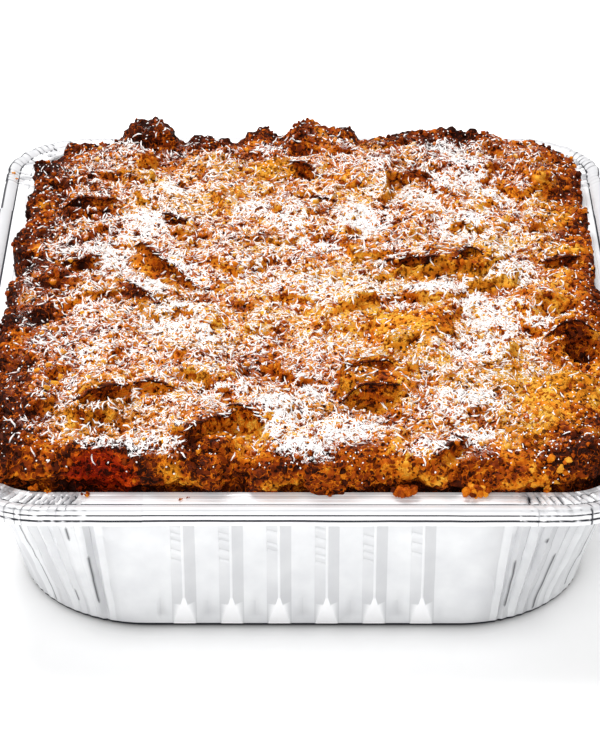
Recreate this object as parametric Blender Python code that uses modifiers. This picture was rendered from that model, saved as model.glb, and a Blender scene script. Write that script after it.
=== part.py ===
"""A bread pudding, baked in a deep half-size foil tin and still filling it.

Metres, +Z up. The origin is the middle of the tin's base, on the surface that the tin stands on. The tin's
short sides, with six ribs each, face -Y and +Y; its long sides, with nine ribs each, face -X and +X.
"""

import math
import random

import bmesh
import bpy
from mathutils import Euler, Matrix, Vector
from mathutils.bvhtree import BVHTree

# ---- the foil tin -------------------------------------------------------------------------------------------
RIM_HALF_X = 0.132  # outer edge of the rolled rim
RIM_HALF_Y = 0.162
RIM_CORNER = 0.040  # corner radius there
TIN_HEIGHT = 0.066
RIM_INSET = 0.0127  # from the outer edge to the top of the wall
BEAD_WIDTH = 0.0035  # the rolled edge outside the flange
FLANGE_Z = 0.0645
SKIRT_DROP = 0.0063  # how far the rolled edge turns down
BASE_HALF_X = 0.108
BASE_HALF_Y = 0.138
BASE_CORNER = 0.0495
BASE_EDGE = 0.004  # fillet between the base and the wall
FOIL = 0.0006  # thicker than real foil, which is about 0.1 mm

RIB_PITCH = 0.018
RIB_HALF_WIDTH = 0.004
RIB_DEPTH = 0.0022
RIB_FOOT_Z = 0.012  # where a rib's ridge starts to fall back to the base edge
RIBS_SHORT_SIDE = 6
RIBS_LONG_SIDE = 9
PLEATS = 13  # points along each pleated corner
PLEAT_DEPTH = 0.0007

# ---- the pudding --------------------------------------------------------------------------------------------
WALL_GAP = 0.0016  # between the pudding and the tin's wall, clear of the pleats
FLOOR_GAP = 0.0004
SIDE_HALF_X = 0.1180  # the baked sides above the rim
SIDE_HALF_Y = 0.1480
SIDE_CORNER = 0.029
OVERHANG_Z = FLANGE_Z + 0.0009  # underside of the crust where it leans over the flange
CROWN_Z = 0.0805  # top of the custard between the bread chunks, at the front
BACK_DROP = 0.0065  # how much lower it lies at the back
EDGE_DROP = 0.0035  # how much it rounds off towards the sides
CORE_POINTS = 7  # points along each corner of the core

CHUNK_PITCH = 0.0225  # torn bread, about an inch across
CHUNK_SIZES = (0.020, 0.029)
CHUNK_THICKNESS = 0.013
CHUNK_TILT = math.radians(13)
CHUNK_POKES = (0.0008, 0.0048)  # how far the chunks stand out of the custard
CHUNK_BEVEL = 0.0034
FLAP_THICKNESS = 0.0046
FLAP_BEVEL = 0.0016
SIDE_COURSE_PITCH = 0.0235
SIDE_COURSE_DEPTH = 0.012
SIDE_POKES = (-0.0002, 0.0030)
CRUMB_RADII = (0.0018, 0.0028)
CRUMB_COUNT = 44
SEED = 23

BAKED_GRAIN = 0.0024  # the fused bread is softened to this grain, as custard and crust round it
BAKED_SOFTENING = 2
CRUST_TRIANGLES = 7600

# Lifted crusts: middle x, y, width, depth, turn and lift in millimetres and degrees. A flap is sunk at its
# back edge and stands clear of the surface at its front edge.
FLAPS = (
    (-92, 75, 23, 20, 14, 4),
    (-91, 3, 22, 19, -24, 4),
    (-62, -16, 20, 17, 38, 4),
    (-64, 20, 15, 13, 20, 3),
    (-76, -112, 26, 20, 8, 4),
    (-56, -96, 17, 14, 25, 3),
    (-34, -130, 25, 22, -22, 5),
    (46, 9, 32, 20, 2, 5),
    (69, 12, 21, 19, -28, 5),
    (30, -92, 30, 25, -12, 5),
    (104, -50, 22, 19, 24, 5),
    (-78, -140, 27, 14, -4, 4),
    (-14, 66, 22, 18, -18, 3),
    (14, -40, 24, 20, 12, 3),
    (72, 84, 24, 19, 16, 3),
)
# Crusts that stand up along the back edge: middle x, y, width, depth, height over the custard, and turn.
CRAGS = (
    (-66, 139, 21, 15, 11.0, 12),
    (-88, 135, 18, 14, 5.5, -18),
    (4, 139, 25, 15, 8.5, 5),
    (14, 128, 17, 15, 5.5, 40),
    (55, 139, 23, 15, 6.0, -9),
    (81, 134, 16, 14, 7.0, 22),
    (101, 122, 15, 15, 5.5, 44),
)
# Places where the custard lies open between the chunks: middle x, y and radius.
HOLLOWS = (
    (46, -7, 16),
    (106, -64, 13),
    (-78, -152, 12),
    (-66, 110, 11),
    (-34, -147, 11),
    (30, -114, 13),
    (69, -6, 12),
)
MM = 0.001

FOIL_COLOUR = (0.86, 0.87, 0.88, 1.0)
CRUST_COLOUR = (0.42, 0.18, 0.045, 1.0)


def clear_scene():
    for obj in list(bpy.data.objects):
        bpy.data.objects.remove(obj, do_unlink=True)


def new_collection(name):
    collection = bpy.data.collections.new(name)
    bpy.context.scene.collection.children.link(collection)
    return collection


def material(name, colour, roughness, metallic):
    made = bpy.data.materials.new(name)
    made.use_nodes = True
    shader = made.node_tree.nodes["Principled BSDF"]
    shader.inputs["Base Color"].default_value = colour
    shader.inputs["Roughness"].default_value = roughness
    shader.inputs["Metallic"].default_value = metallic
    return made


def add_object(bm, name, collection, finish=None):
    """A new object from a finished bmesh."""
    mesh = bpy.data.meshes.new(name)
    bm.to_mesh(mesh)
    bm.free()
    obj = bpy.data.objects.new(name, mesh)
    collection.objects.link(obj)
    if finish:
        mesh.materials.append(finish)
    return obj


def apply_modifiers(obj):
    """Gives the object its evaluated mesh in place of its modifiers."""
    bpy.context.view_layer.update()
    evaluated = obj.evaluated_get(bpy.context.evaluated_depsgraph_get())
    finished = bpy.data.meshes.new_from_object(evaluated)
    obj.modifiers.clear()
    obj.data = finished


# ---- outlines -----------------------------------------------------------------------------------------------


def rib_stations(count):
    """Distances along a side at which its ribs start, peak and end, each with its share of the rib's depth."""
    stations = []
    for i in range(count):
        ridge = (i - (count - 1) / 2) * RIB_PITCH
        stations += [(ridge - RIB_HALF_WIDTH, 0), (ridge, 1), (ridge + RIB_HALF_WIDTH, 0)]
    return stations


def outline(half_x, half_y, radius, z, steps, ribs=(0, 0), rib_depth=0.0, pleat=0.0):
    """One closed ring of points round a rectangle with round corners, anticlockwise from above.

    steps is the number of points in each corner, ribs the number of ribs on a short and on a long side. The
    corner's points step in and out by pleat.
    """
    points = []
    sides = (
        (half_x, half_y, Vector((1, 0, 0)), Vector((0, -1, 0)), ribs[0]),
        (half_y, half_x, Vector((0, 1, 0)), Vector((1, 0, 0)), ribs[1]),
        (half_x, half_y, Vector((-1, 0, 0)), Vector((0, 1, 0)), ribs[0]),
        (half_y, half_x, Vector((0, -1, 0)), Vector((-1, 0, 0)), ribs[1]),
    )
    level = Vector((0, 0, z))
    for half_length, out, along, normal, count in sides:
        end = half_length - radius
        for distance, share in [(-end, 0)] + rib_stations(count) + [(end, 0)]:
            points.append(level + along * distance + normal * (out + rib_depth * share))
        centre = level + along * end + normal * (out - radius)
        for step in range(1, steps + 1):
            angle = math.pi / 2 * step / (steps + 1)
            reach = radius + (pleat if step % 2 else -pleat)
            points.append(centre + reach * (normal * math.cos(angle) + along * math.sin(angle)))
    return points


def loft(rings, cap_bottom, cap_top):
    """Skins rings that have equal numbers of points, and closes the ends asked for."""
    bm = bmesh.new()
    rows = [[bm.verts.new(point) for point in ring] for ring in rings]
    count = len(rows[0])
    for low, high in zip(rows, rows[1:]):
        for i in range(count):
            j = (i + 1) % count
            bm.faces.new((low[i], low[j], high[j], high[i]))
    if cap_bottom:
        bm.faces.new(list(reversed(rows[0])))
    if cap_top:
        bm.faces.new(rows[-1])
    return bm


# ---- the foil tin -------------------------------------------------------------------------------------------


def wall_at(z):
    """Half sizes and corner radius of the wall's inner face at this height."""
    up = z / FLANGE_Z
    top_x, top_y = RIM_HALF_X - RIM_INSET, RIM_HALF_Y - RIM_INSET
    top_corner = RIM_CORNER - RIM_INSET
    half_x = BASE_HALF_X + (top_x - BASE_HALF_X) * up
    half_y = BASE_HALF_Y + (top_y - BASE_HALF_Y) * up
    return half_x, half_y, BASE_CORNER + (top_corner - BASE_CORNER) * up


def tin_ring(inset, z, rib_depth=0.0, pleat=0.0, from_rim=False):
    """A ring of the tin, inset from its wall, or from the rim's outer edge."""
    half_x, half_y, radius = (RIM_HALF_X, RIM_HALF_Y, RIM_CORNER) if from_rim else wall_at(z)
    ribs = (RIBS_SHORT_SIDE, RIBS_LONG_SIDE)
    return outline(half_x - inset, half_y - inset, radius - inset, z, PLEATS, ribs, rib_depth, pleat)


def foil_tin(collection):
    """Base, fillet, ribbed and pleated wall, flange, and the rolled edge turned down outside it.

    The rings lie on the face of the sheet that touches the food, which is the outer face of the rolled edge.
    """
    skirt_z = TIN_HEIGHT - SKIRT_DROP
    rings = [
        tin_ring(BASE_EDGE, FOIL),
        tin_ring(BASE_EDGE * 0.3, FOIL + BASE_EDGE * 0.3),
        tin_ring(0, BASE_EDGE),
        tin_ring(0, RIB_FOOT_Z, RIB_DEPTH, PLEAT_DEPTH),
        tin_ring(0, FLANGE_Z - 0.002, RIB_DEPTH, PLEAT_DEPTH),
        tin_ring(RIM_INSET - 0.0008, FLANGE_Z, from_rim=True),
        tin_ring(BEAD_WIDTH, FLANGE_Z, from_rim=True),
        tin_ring(BEAD_WIDTH * 0.6, TIN_HEIGHT, from_rim=True),
        tin_ring(0, TIN_HEIGHT - 0.0016, from_rim=True),
        tin_ring(0, skirt_z, from_rim=True),
    ]
    bm = loft(rings, cap_bottom=True, cap_top=False)
    tin = add_object(bm, "foil_tin", collection, material("foil", FOIL_COLOUR, 0.32, 1.0))
    shell = tin.modifiers.new("Foil", "SOLIDIFY")
    shell.thickness = FOIL
    shell.offset = 1
    shell.use_even_offset = True
    tin.data.shade_smooth()
    tin.data.set_sharp_from_angle(angle=math.radians(30))
    return tin


# ---- the pudding --------------------------------------------------------------------------------------------


def crown(x, y):
    """Height of the custard between the chunks: highest at the front, and rounded off towards the sides."""
    towards_back = (y / SIDE_HALF_Y + 1) / 2
    edge = max(abs(x) / SIDE_HALF_X, abs(y) / SIDE_HALF_Y)
    return CROWN_Z - BACK_DROP * towards_back - EDGE_DROP * edge**4


def pudding_core(collection):
    """What fills the tin, with plain baked sides above the rim and a smooth crown."""
    rings = []
    for z, inset in ((FOIL + FLOOR_GAP, BASE_EDGE), (BASE_EDGE, 0), (FLANGE_Z - 0.004, 0)):
        half_x, half_y, radius = wall_at(z)
        inset += WALL_GAP
        rings.append(outline(half_x - inset, half_y - inset, radius - inset, z, CORE_POINTS))
    for z in (OVERHANG_Z + 0.0004, 0.0705):
        rings.append(outline(SIDE_HALF_X, SIDE_HALF_Y, SIDE_CORNER, z, CORE_POINTS))
    for share in (0.985, 0.94, 0.75, 0.4):
        flat = outline(SIDE_HALF_X, SIDE_HALF_Y, SIDE_CORNER, 0, CORE_POINTS)
        ring = [point * share for point in flat]
        rings.append([Vector((p.x, p.y, crown(p.x, p.y))) for p in ring])
    bm = loft(rings, cap_bottom=True, cap_top=True)
    bmesh.ops.triangulate(bm, faces=bm.faces)
    return add_object(bm, "pudding", collection)


def bread_chunk(rng, size, centre, turn, collection, bevel=CHUNK_BEVEL):
    """A block of bread with rounded edges and slightly uneven corners, turned about its centre."""
    bm = bmesh.new()
    bmesh.ops.create_cube(bm, size=1.0, matrix=Matrix.Diagonal((*size, 1)))
    bmesh.ops.bevel(bm, geom=bm.edges, offset=bevel, segments=1, affect="EDGES", clamp_overlap=True)
    for vert in bm.verts:
        vert.co *= rng.uniform(0.94, 1.06)
    bmesh.ops.triangulate(bm, faces=bm.faces)
    bmesh.ops.transform(bm, matrix=Matrix.Translation(centre) @ turn.to_matrix().to_4x4(), verts=bm.verts)
    return add_object(bm, "chunk", collection)


def in_hollow(x, y):
    return any(math.hypot(x - cx * MM, y - cy * MM) < radius * MM for cx, cy, radius in HOLLOWS)


def under_flap(x, y):
    """Whether a chunk here would stand in the opening of a lifted crust, or where a crag stands."""
    for cx, cy, width, depth, _, _ in FLAPS:
        if abs(x - cx * MM) < width * MM * 0.62 and abs(y - cy * MM) < depth * MM * 0.75:
            return True
    return any(math.hypot(x - crag[0] * MM, y - crag[1] * MM) < 0.012 for crag in CRAGS)


def top_chunks(rng, collection):
    """Torn bread all over the top, on a loose grid."""
    reach_x, reach_y = SIDE_HALF_X - 0.010, SIDE_HALF_Y - 0.010
    columns = round(2 * reach_x / CHUNK_PITCH)
    rows = round(2 * reach_y / CHUNK_PITCH)
    corner = SIDE_CORNER - 0.008
    for row in range(rows + 1):
        for column in range(columns + 1):
            wobble_x, wobble_y = rng.uniform(-0.005, 0.005), rng.uniform(-0.005, 0.005)
            width, depth = rng.uniform(*CHUNK_SIZES), rng.uniform(*CHUNK_SIZES)
            poke = rng.uniform(*CHUNK_POKES)
            tilt_x, tilt_y = rng.uniform(-CHUNK_TILT, CHUNK_TILT), rng.uniform(-CHUNK_TILT, CHUNK_TILT)
            turn = rng.uniform(0, math.pi / 2)
            shift = CHUNK_PITCH * 0.25 if row % 2 else -CHUNK_PITCH * 0.25
            x = (column / columns * 2 - 1) * reach_x + shift + wobble_x
            y = (row / rows * 2 - 1) * reach_y + wobble_y
            x = max(-reach_x, min(reach_x, x))
            y = max(-reach_y, min(reach_y, y))
            past_x, past_y = abs(x) - reach_x + corner, abs(y) - reach_y + corner
            if past_x > 0 and past_y > 0 and math.hypot(past_x, past_y) > corner:
                scale = corner / math.hypot(past_x, past_y)
                x = math.copysign(reach_x - corner + past_x * scale, x)
                y = math.copysign(reach_y - corner + past_y * scale, y)
            if in_hollow(x, y) or under_flap(x, y):
                continue
            at_edge = min(SIDE_HALF_X - abs(x), SIDE_HALF_Y - abs(y)) < 0.020
            if at_edge:
                tilt_x, tilt_y, turn = tilt_x * 0.4, tilt_y * 0.4, rng.uniform(-0.2, 0.2)
                width, depth = min(width, 0.022), min(depth, 0.022)
            centre = Vector((x, y, crown(x, y) + poke - CHUNK_THICKNESS / 2))
            size = (width, depth, CHUNK_THICKNESS)
            bread_chunk(rng, size, centre, Euler((tilt_x, tilt_y, turn)), collection)


def side_course(rng, collection):
    """The bread that shows in the baked sides, in one course just above the rim."""
    flat = outline(SIDE_HALF_X, SIDE_HALF_Y, SIDE_CORNER, 0, 3)
    low, high = OVERHANG_Z + 0.0002, 0.0765
    for start, end in zip(flat, flat[1:] + flat[:1]):
        length = (end - start).length
        count = max(1, round(length / SIDE_COURSE_PITCH))
        outwards = (end - start).normalized().cross(Vector((0, 0, 1)))
        heading = math.atan2(outwards.y, outwards.x)
        for i in range(count):
            middle = start.lerp(end, (i + 0.5) / count)
            poke = rng.uniform(*SIDE_POKES)
            height = rng.uniform(0.75, 1.0) * (high - low)
            width = length / count * rng.uniform(0.78, 1.08)
            centre = middle + outwards * (poke - SIDE_COURSE_DEPTH / 2)
            centre.z = low + height / 2 + 0.0006
            size = (SIDE_COURSE_DEPTH, width, height)
            bread_chunk(rng, size, centre, Euler((0, 0, heading)), collection, 0.0018)


def crust_flaps(rng, collection):
    """Slabs of crust sunk at the back and lifted at the front, with a dark gap under the lip."""
    for x, y, width, depth, heading, lift in FLAPS:
        x, y, width, depth, lift = x * MM, y * MM, width * MM, depth * MM, lift * MM
        slope = math.atan2(lift, depth * 0.8)
        turn = Matrix.Rotation(math.radians(heading), 3, "Z") @ Matrix.Rotation(-slope, 3, "X")
        centre = Vector((x, y, crown(x, y) + lift * 0.5))
        size = (width, depth, FLAP_THICKNESS)
        bread_chunk(rng, size, centre, turn.to_euler(), collection, FLAP_BEVEL)


def back_crags(rng, collection):
    """Tall crusts along the back edge."""
    for x, y, width, depth, height, heading in CRAGS:
        x, y = x * MM, y * MM
        top = crown(x, y) + height * MM
        low = crown(x, y) - 0.007
        centre = Vector((x, y, (top + low) / 2))
        size = (width * MM, depth * MM, top - low)
        lean = math.radians(8 if height > 6 else 4)
        turn = Euler((lean, -lean * 0.5, math.radians(heading)))
        bread_chunk(rng, size, centre, turn, collection, 0.0035)


def loose_crumbs(rng, body, collection):
    """The largest crumbs of the topping, spread evenly and half sunk in the crust."""
    bm = bmesh.new()
    bm.from_mesh(body.data)
    crust = BVHTree.FromBMesh(bm)
    bm.free()
    golden = math.pi * (3 - math.sqrt(5))
    for i in range(CRUMB_COUNT):
        reach = math.sqrt((i + 0.5) / CRUMB_COUNT)
        x = reach * math.cos(i * golden) * (SIDE_HALF_X - 0.010)
        y = reach * math.sin(i * golden) * (SIDE_HALF_Y - 0.010)
        seat = crust.ray_cast(Vector((x, y, 2 * CROWN_Z)), Vector((0, 0, -1)))[0]
        radius = rng.uniform(*CRUMB_RADII)
        turn = Euler([rng.uniform(0, math.pi) for _ in range(3)]).to_matrix().to_4x4()
        stretch = Matrix.Diagonal((1, rng.uniform(0.7, 0.9), rng.uniform(1.0, 1.25), 1))
        crumb = bmesh.new()
        matrix = Matrix.Translation(seat + Vector((0, 0, radius * 0.35))) @ turn @ stretch
        bmesh.ops.create_icosphere(crumb, subdivisions=1, radius=radius, matrix=matrix)
        add_object(crumb, "crumb", collection)


def keep_largest_shell(obj):
    """Keeps the pudding's outer skin and drops what fusing leaves apart from it."""
    bm = bmesh.new()
    bm.from_mesh(obj.data)
    bm.verts.ensure_lookup_table()
    unseen = set(bm.verts)
    islands = []
    while unseen:
        edge_of_island = [unseen.pop()]
        island = set(edge_of_island)
        while edge_of_island:
            vert = edge_of_island.pop()
            for edge in vert.link_edges:
                other = edge.other_vert(vert)
                if other in unseen:
                    unseen.discard(other)
                    island.add(other)
                    edge_of_island.append(other)
        islands.append(island)
    islands.sort(key=len)
    for island in islands[:-1]:
        bmesh.ops.delete(bm, geom=list(island), context="VERTS")
    bm.to_mesh(obj.data)
    bm.free()


def fuse(body, pieces):
    """Joins a collection's pieces to the body in one union, and clears them away."""
    union = body.modifiers.new("Fuse", "BOOLEAN")
    union.operation = "UNION"
    union.operand_type = "COLLECTION"
    union.collection = pieces
    union.solver = "EXACT"
    apply_modifiers(body)
    for piece in list(pieces.objects):
        bpy.data.objects.remove(piece, do_unlink=True)
    bpy.data.collections.remove(pieces)
    keep_largest_shell(body)


def soften(body):
    """Rounds the fused bread into one lumpy crust, with no more faces than its shape needs."""
    grain = body.modifiers.new("Grain", "REMESH")
    grain.mode = "VOXEL"
    grain.voxel_size = BAKED_GRAIN
    grain.adaptivity = 0
    smooth = body.modifiers.new("Smooth", "SMOOTH")
    smooth.factor = 0.5
    smooth.iterations = BAKED_SOFTENING
    apply_modifiers(body)
    triangles = sum(len(face.vertices) - 2 for face in body.data.polygons)
    thin = body.modifiers.new("Thin", "DECIMATE")
    thin.ratio = CRUST_TRIANGLES / triangles
    apply_modifiers(body)


def pudding(collection):
    """The core with its bread, flaps, crags and crumbs fused on as one solid."""
    rng = random.Random(SEED)
    body = pudding_core(collection)
    bread = new_collection("pudding_bread")
    top_chunks(rng, bread)
    side_course(rng, bread)
    crust_flaps(rng, bread)
    back_crags(rng, bread)
    fuse(body, bread)
    soften(body)
    crumbs = new_collection("pudding_crumbs")
    loose_crumbs(rng, body, crumbs)
    fuse(body, crumbs)
    body.data.materials.clear()
    body.data.materials.append(material("crust", CRUST_COLOUR, 0.75, 0.0))
    return body


def main():
    clear_scene()
    collection = new_collection("bread_pudding")
    foil_tin(collection)
    pudding(collection)


main()
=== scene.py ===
"""The looks of a bread pudding in its foil tin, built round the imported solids. Metres, +Z up, front at -Y."""

import math

import bpy
import numpy as np
from mathutils import Matrix, Vector, noise
from mathutils.bvhtree import BVHTree
from mathutils.kdtree import KDTree


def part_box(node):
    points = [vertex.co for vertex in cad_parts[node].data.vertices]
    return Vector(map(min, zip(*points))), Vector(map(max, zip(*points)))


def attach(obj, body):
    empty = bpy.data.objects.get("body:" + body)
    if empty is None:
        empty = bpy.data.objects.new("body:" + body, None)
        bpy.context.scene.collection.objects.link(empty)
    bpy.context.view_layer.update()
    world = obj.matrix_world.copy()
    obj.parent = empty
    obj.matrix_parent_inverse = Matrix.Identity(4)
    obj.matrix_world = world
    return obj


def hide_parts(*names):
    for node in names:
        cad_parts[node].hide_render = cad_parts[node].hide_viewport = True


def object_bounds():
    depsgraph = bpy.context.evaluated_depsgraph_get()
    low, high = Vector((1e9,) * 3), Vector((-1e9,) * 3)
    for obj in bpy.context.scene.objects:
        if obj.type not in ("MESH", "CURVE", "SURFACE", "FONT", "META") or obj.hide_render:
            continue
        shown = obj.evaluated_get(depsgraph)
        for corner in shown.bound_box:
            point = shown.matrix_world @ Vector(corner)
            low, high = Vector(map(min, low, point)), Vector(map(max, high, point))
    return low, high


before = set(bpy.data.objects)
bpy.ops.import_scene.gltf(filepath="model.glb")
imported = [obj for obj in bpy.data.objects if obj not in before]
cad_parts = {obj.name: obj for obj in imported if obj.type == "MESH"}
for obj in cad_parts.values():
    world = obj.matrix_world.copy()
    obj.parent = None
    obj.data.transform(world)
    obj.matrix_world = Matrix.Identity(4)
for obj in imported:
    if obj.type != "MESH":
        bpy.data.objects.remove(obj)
cad_low, cad_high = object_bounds()

MM = 0.001
SEED = 41

# ---- sizes taken from the frame, and the tin's own folds -----------------------------------------
RIM_HALF_X, RIM_HALF_Y, TIN_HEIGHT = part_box("foil_tin")[1]
RIM_CORNER = 36 * MM
WALL_TOP_INSET = 12.7 * MM
WALL_TOP_Z = TIN_HEIGHT - 1.5 * MM
BASE_HALF_X, BASE_HALF_Y, BASE_CORNER = RIM_HALF_X - 24 * MM, RIM_HALF_Y - 24 * MM, 49.5 * MM
CORNER_CURVE = 1.2  # how long the wall's corners stay as round as the base's
FOIL = 0.6 * MM
RIB_PITCH, RIB_HALF_WIDTH, RIB_DEPTH, RIB_FOOT_Z = 18 * MM, 4.5 * MM, 2.2 * MM, 16 * MM
RIBS_SHORT_SIDE, RIBS_LONG_SIDE = 6, 9

# ---- the pudding ---------------------------------------------------------------------------------
CRUST_HALF_X, CRUST_HALF_Y, CRUST_CORNER = 120.5 * MM, 150.5 * MM, 31 * MM
HIDDEN_Z = 57 * MM  # below this the tin hides the pudding
SHOWN_Z = 66.5 * MM
WALL_GAP = 3.0 * MM
LOWER_STEPS = (20 * MM, 30.5 * MM, 5.5 * MM)


# ---- working by hand -----------------------------------------------------------------------------


def pick(obj):
    """Deselects everything, and selects only this object."""
    bpy.ops.object.select_all(action="DESELECT")
    obj.select_set(True)
    bpy.context.view_layer.objects.active = obj


def edit(obj, mode="VERT"):
    """Opens the object in edit mode with nothing selected."""
    pick(obj)
    bpy.ops.object.mode_set(mode="EDIT")
    bpy.ops.mesh.select_mode(type=mode)
    bpy.ops.mesh.select_all(action="DESELECT")


def done():
    bpy.ops.object.mode_set(mode="OBJECT")


def merge_doubles():
    """In edit mode, merges points that lie on each other."""
    bpy.ops.mesh.select_all(action="SELECT")
    bpy.ops.mesh.remove_doubles(threshold=0.01 * MM)


def face_outwards():
    """In edit mode, turns all faces outwards, and ends the editing."""
    bpy.ops.mesh.select_all(action="SELECT")
    bpy.ops.mesh.normals_make_consistent(inside=False)
    done()


def placed(name, mesh):
    """A new object with this mesh, in the scene."""
    obj = bpy.data.objects.new(name, mesh)
    bpy.context.scene.collection.objects.link(obj)
    return obj


def built(name, points, faces):
    """A new object in the scene, made of these points and faces."""
    mesh = bpy.data.meshes.new(name)
    mesh.from_pydata(points, [], faces)
    return placed(name, mesh)


def apply_modifier(obj, kind, **settings):
    pick(obj)
    modifier = obj.modifiers.new(kind.title(), kind)
    for name, value in settings.items():
        setattr(modifier, name, value)
    bpy.ops.object.modifier_apply(modifier=modifier.name)


def points_of(mesh):
    flat = np.empty(len(mesh.vertices) * 3)
    mesh.vertices.foreach_get("co", flat)
    return flat.reshape(-1, 3)


def normals_of(mesh):
    flat = np.empty(len(mesh.vertices) * 3)
    mesh.vertex_normals.foreach_get("vector", flat)
    return flat.reshape(-1, 3)


def put_points(mesh, points):
    mesh.vertices.foreach_set("co", np.ascontiguousarray(points, np.float32).ravel())
    mesh.update()


def values_of(mesh, name):
    values = np.empty(len(mesh.vertices))
    mesh.attributes[name].data.foreach_get("value", values)
    return values


def give(obj, name, values):
    """Stores a value for each point, which a material can read."""
    attribute = obj.data.attributes.new(name, "FLOAT", "POINT")
    attribute.data.foreach_set("value", np.ascontiguousarray(values, np.float32))


def smoothstep(low, high, value):
    t = np.clip((value - low) / (high - low), 0, 1)
    return t * t * (3 - 2 * t)


def away_from(x, y, middle_x, middle_y, reach_x, reach_y):
    """How far a place is from a middle given in millimetres: squared, as a share of the reach."""
    return ((x / MM - middle_x) / reach_x) ** 2 + ((y / MM - middle_y) / reach_y) ** 2


# ---- shader maths --------------------------------------------------------------------------------


def srgb(red, green, blue):
    """A colour as it is picked on a screen, 0 to 255, made linear."""
    linear = [c / 255 / 12.92 if c <= 10 else ((c / 255 + 0.055) / 1.055) ** 2.4 for c in (red, green, blue)]
    return (*linear, 1.0)


class Value:
    """A socket that Python's operators work on: each adds its Math node."""

    def __init__(self, shader, socket):
        self.shader = shader
        self.socket = socket

    def math(self, operation, *others):
        return self.shader.node("ShaderNodeMath", {"operation": operation}, dict(enumerate((self, *others))))

    def __add__(self, other):
        return self.math("ADD", other)

    def __sub__(self, other):
        return self.math("SUBTRACT", other)

    def __rsub__(self, other):
        return self * -1.0 + other

    def __mul__(self, other):
        return self.math("MULTIPLY", other)

    def __pow__(self, other):
        return self.math("POWER", other)

    __radd__ = __add__
    __rmul__ = __mul__

    def step(self, low, high):
        """0 below low and 1 above high, smooth between them."""
        settings = {"interpolation_type": "SMOOTHSTEP"}
        return self.shader.node("ShaderNodeMapRange", settings, {0: self, 1: low, 2: high})

    def ramp(self, *stops):
        return self.shader.node("ShaderNodeValToRGB", {"stops": stops}, {0: self})


class Shader:
    """A Principled material, and one method that adds any other node to it."""

    def __init__(self, name, **constants):
        self.material = bpy.data.materials.new(name)
        self.material.use_nodes = True
        self.tree = self.material.node_tree
        self.surface = self.tree.nodes["Principled BSDF"]
        for socket, value in constants.items():
            self.surface.inputs[socket.replace("_", " ")].default_value = value
        self.place = self.node("ShaderNodeTexCoord", output="Object")

    def node(self, kind, settings=None, inputs=None, output=0):
        made = self.tree.nodes.new(kind)
        for name, value in (settings or {}).items():
            if name == "stops":
                self.set_stops(made.color_ramp, value)
            else:
                setattr(made, name, value)
        for key, value in (inputs or {}).items():
            if isinstance(value, Value):
                self.tree.links.new(value.socket, made.inputs[key])
            else:
                made.inputs[key].default_value = value
        return Value(self, made.outputs[output])

    @staticmethod
    def set_stops(ramp, stops):
        while len(ramp.elements) < len(stops):
            ramp.elements.new(1.0)
        for element, (position, colour) in zip(ramp.elements, stops):
            element.position = position
            element.color = colour

    def noise(self, scale, detail=2.0, output=0):
        inputs = {"Vector": self.place, "Scale": scale, "Detail": detail}
        return self.node("ShaderNodeTexNoise", None, inputs, output)

    def shifted(self, wander, distance):
        """The place, moved about by a noise's colour."""
        inputs = {0: wander, 1: (distance,) * 3, 2: self.place}
        return self.node("ShaderNodeVectorMath", {"operation": "MULTIPLY_ADD"}, inputs)

    def cells(self, scale, feature="F1", place=None):
        inputs = {"Vector": place or self.place, "Scale": scale}
        return self.node("ShaderNodeTexVoronoi", {"feature": feature}, inputs)

    def attribute(self, name):
        return self.node("ShaderNodeAttribute", {"attribute_name": name}, output="Fac")

    def mix(self, share, first, second):
        """A colour between two, by share."""
        return self.node("ShaderNodeMix", {"data_type": "RGBA"}, {"Factor": share, 6: first, 7: second}, 2)

    def bump(self, height, distance, strength=1.0):
        inputs = {"Height": height, "Distance": distance, "Strength": strength}
        return self.node("ShaderNodeBump", None, inputs)

    def finish(self, **links):
        for socket, value in links.items():
            self.tree.links.new(value.socket, self.surface.inputs[socket.replace("_", " ")])
        return self.material


def wear(obj, material):
    obj.data.materials.clear()
    obj.data.materials.append(material)


# ---- materials -----------------------------------------------------------------------------------

CRUST_TONES = (
    (0.00, srgb(243, 178, 62)),
    (0.18, srgb(226, 133, 26)),
    (0.36, srgb(193, 91, 10)),
    (0.54, srgb(138, 53, 5)),
    (0.72, srgb(87, 30, 6)),
    (1.00, srgb(40, 13, 5)),
)
OLIVE_TONES = (
    (0.00, srgb(243, 186, 72)),
    (0.22, srgb(222, 143, 30)),
    (0.42, srgb(172, 108, 18)),
    (0.62, srgb(108, 64, 14)),
    (1.00, srgb(44, 22, 6)),
)
SUGAR = srgb(254, 253, 252)
BREAD_SHEEN = 0.05
CONTACT_SHADE = 20 * MM  # how far the tin's shade reaches over the floor
SUGAR_GLOW = 0.22  # stands for the light that sugar scatters inside itself
WALL_GLOW, RIM_GLOW = 0.05, 0.19  # stand for the light that the facets of foil throw on each other
# Foil colours: painted shade, painted highlight, and painted shade in tight folds.
FOIL_PAINTED_SHADE, FOIL_PAINTED_HIGHLIGHT, FOLD_PAINTED_SHADE = srgb(176, 176, 179), srgb(253, 253, 254), srgb(24, 26, 36)


def sugar_web(shader, dusted):
    """Where sugar shows white: a fine curling web of it, which closes up where it fell thick."""
    threads = [(shader.noise(scale, 1.0) - 0.5).math("ABSOLUTE") for scale in (370, 480)]
    wander = shader.shifted(shader.noise(420, 1, output=1), 1.8 * MM)
    web = shader.cells(390, "DISTANCE_TO_EDGE", wander) * 0.4
    thread = threads[0].math("MINIMUM", threads[1]).math("MINIMUM", web)
    clustered = dusted * (shader.noise(150, 2) * 2.6 - 0.3) - 0.07
    return (clustered * 0.069 - thread).step(-0.001, 0.009)


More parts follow.
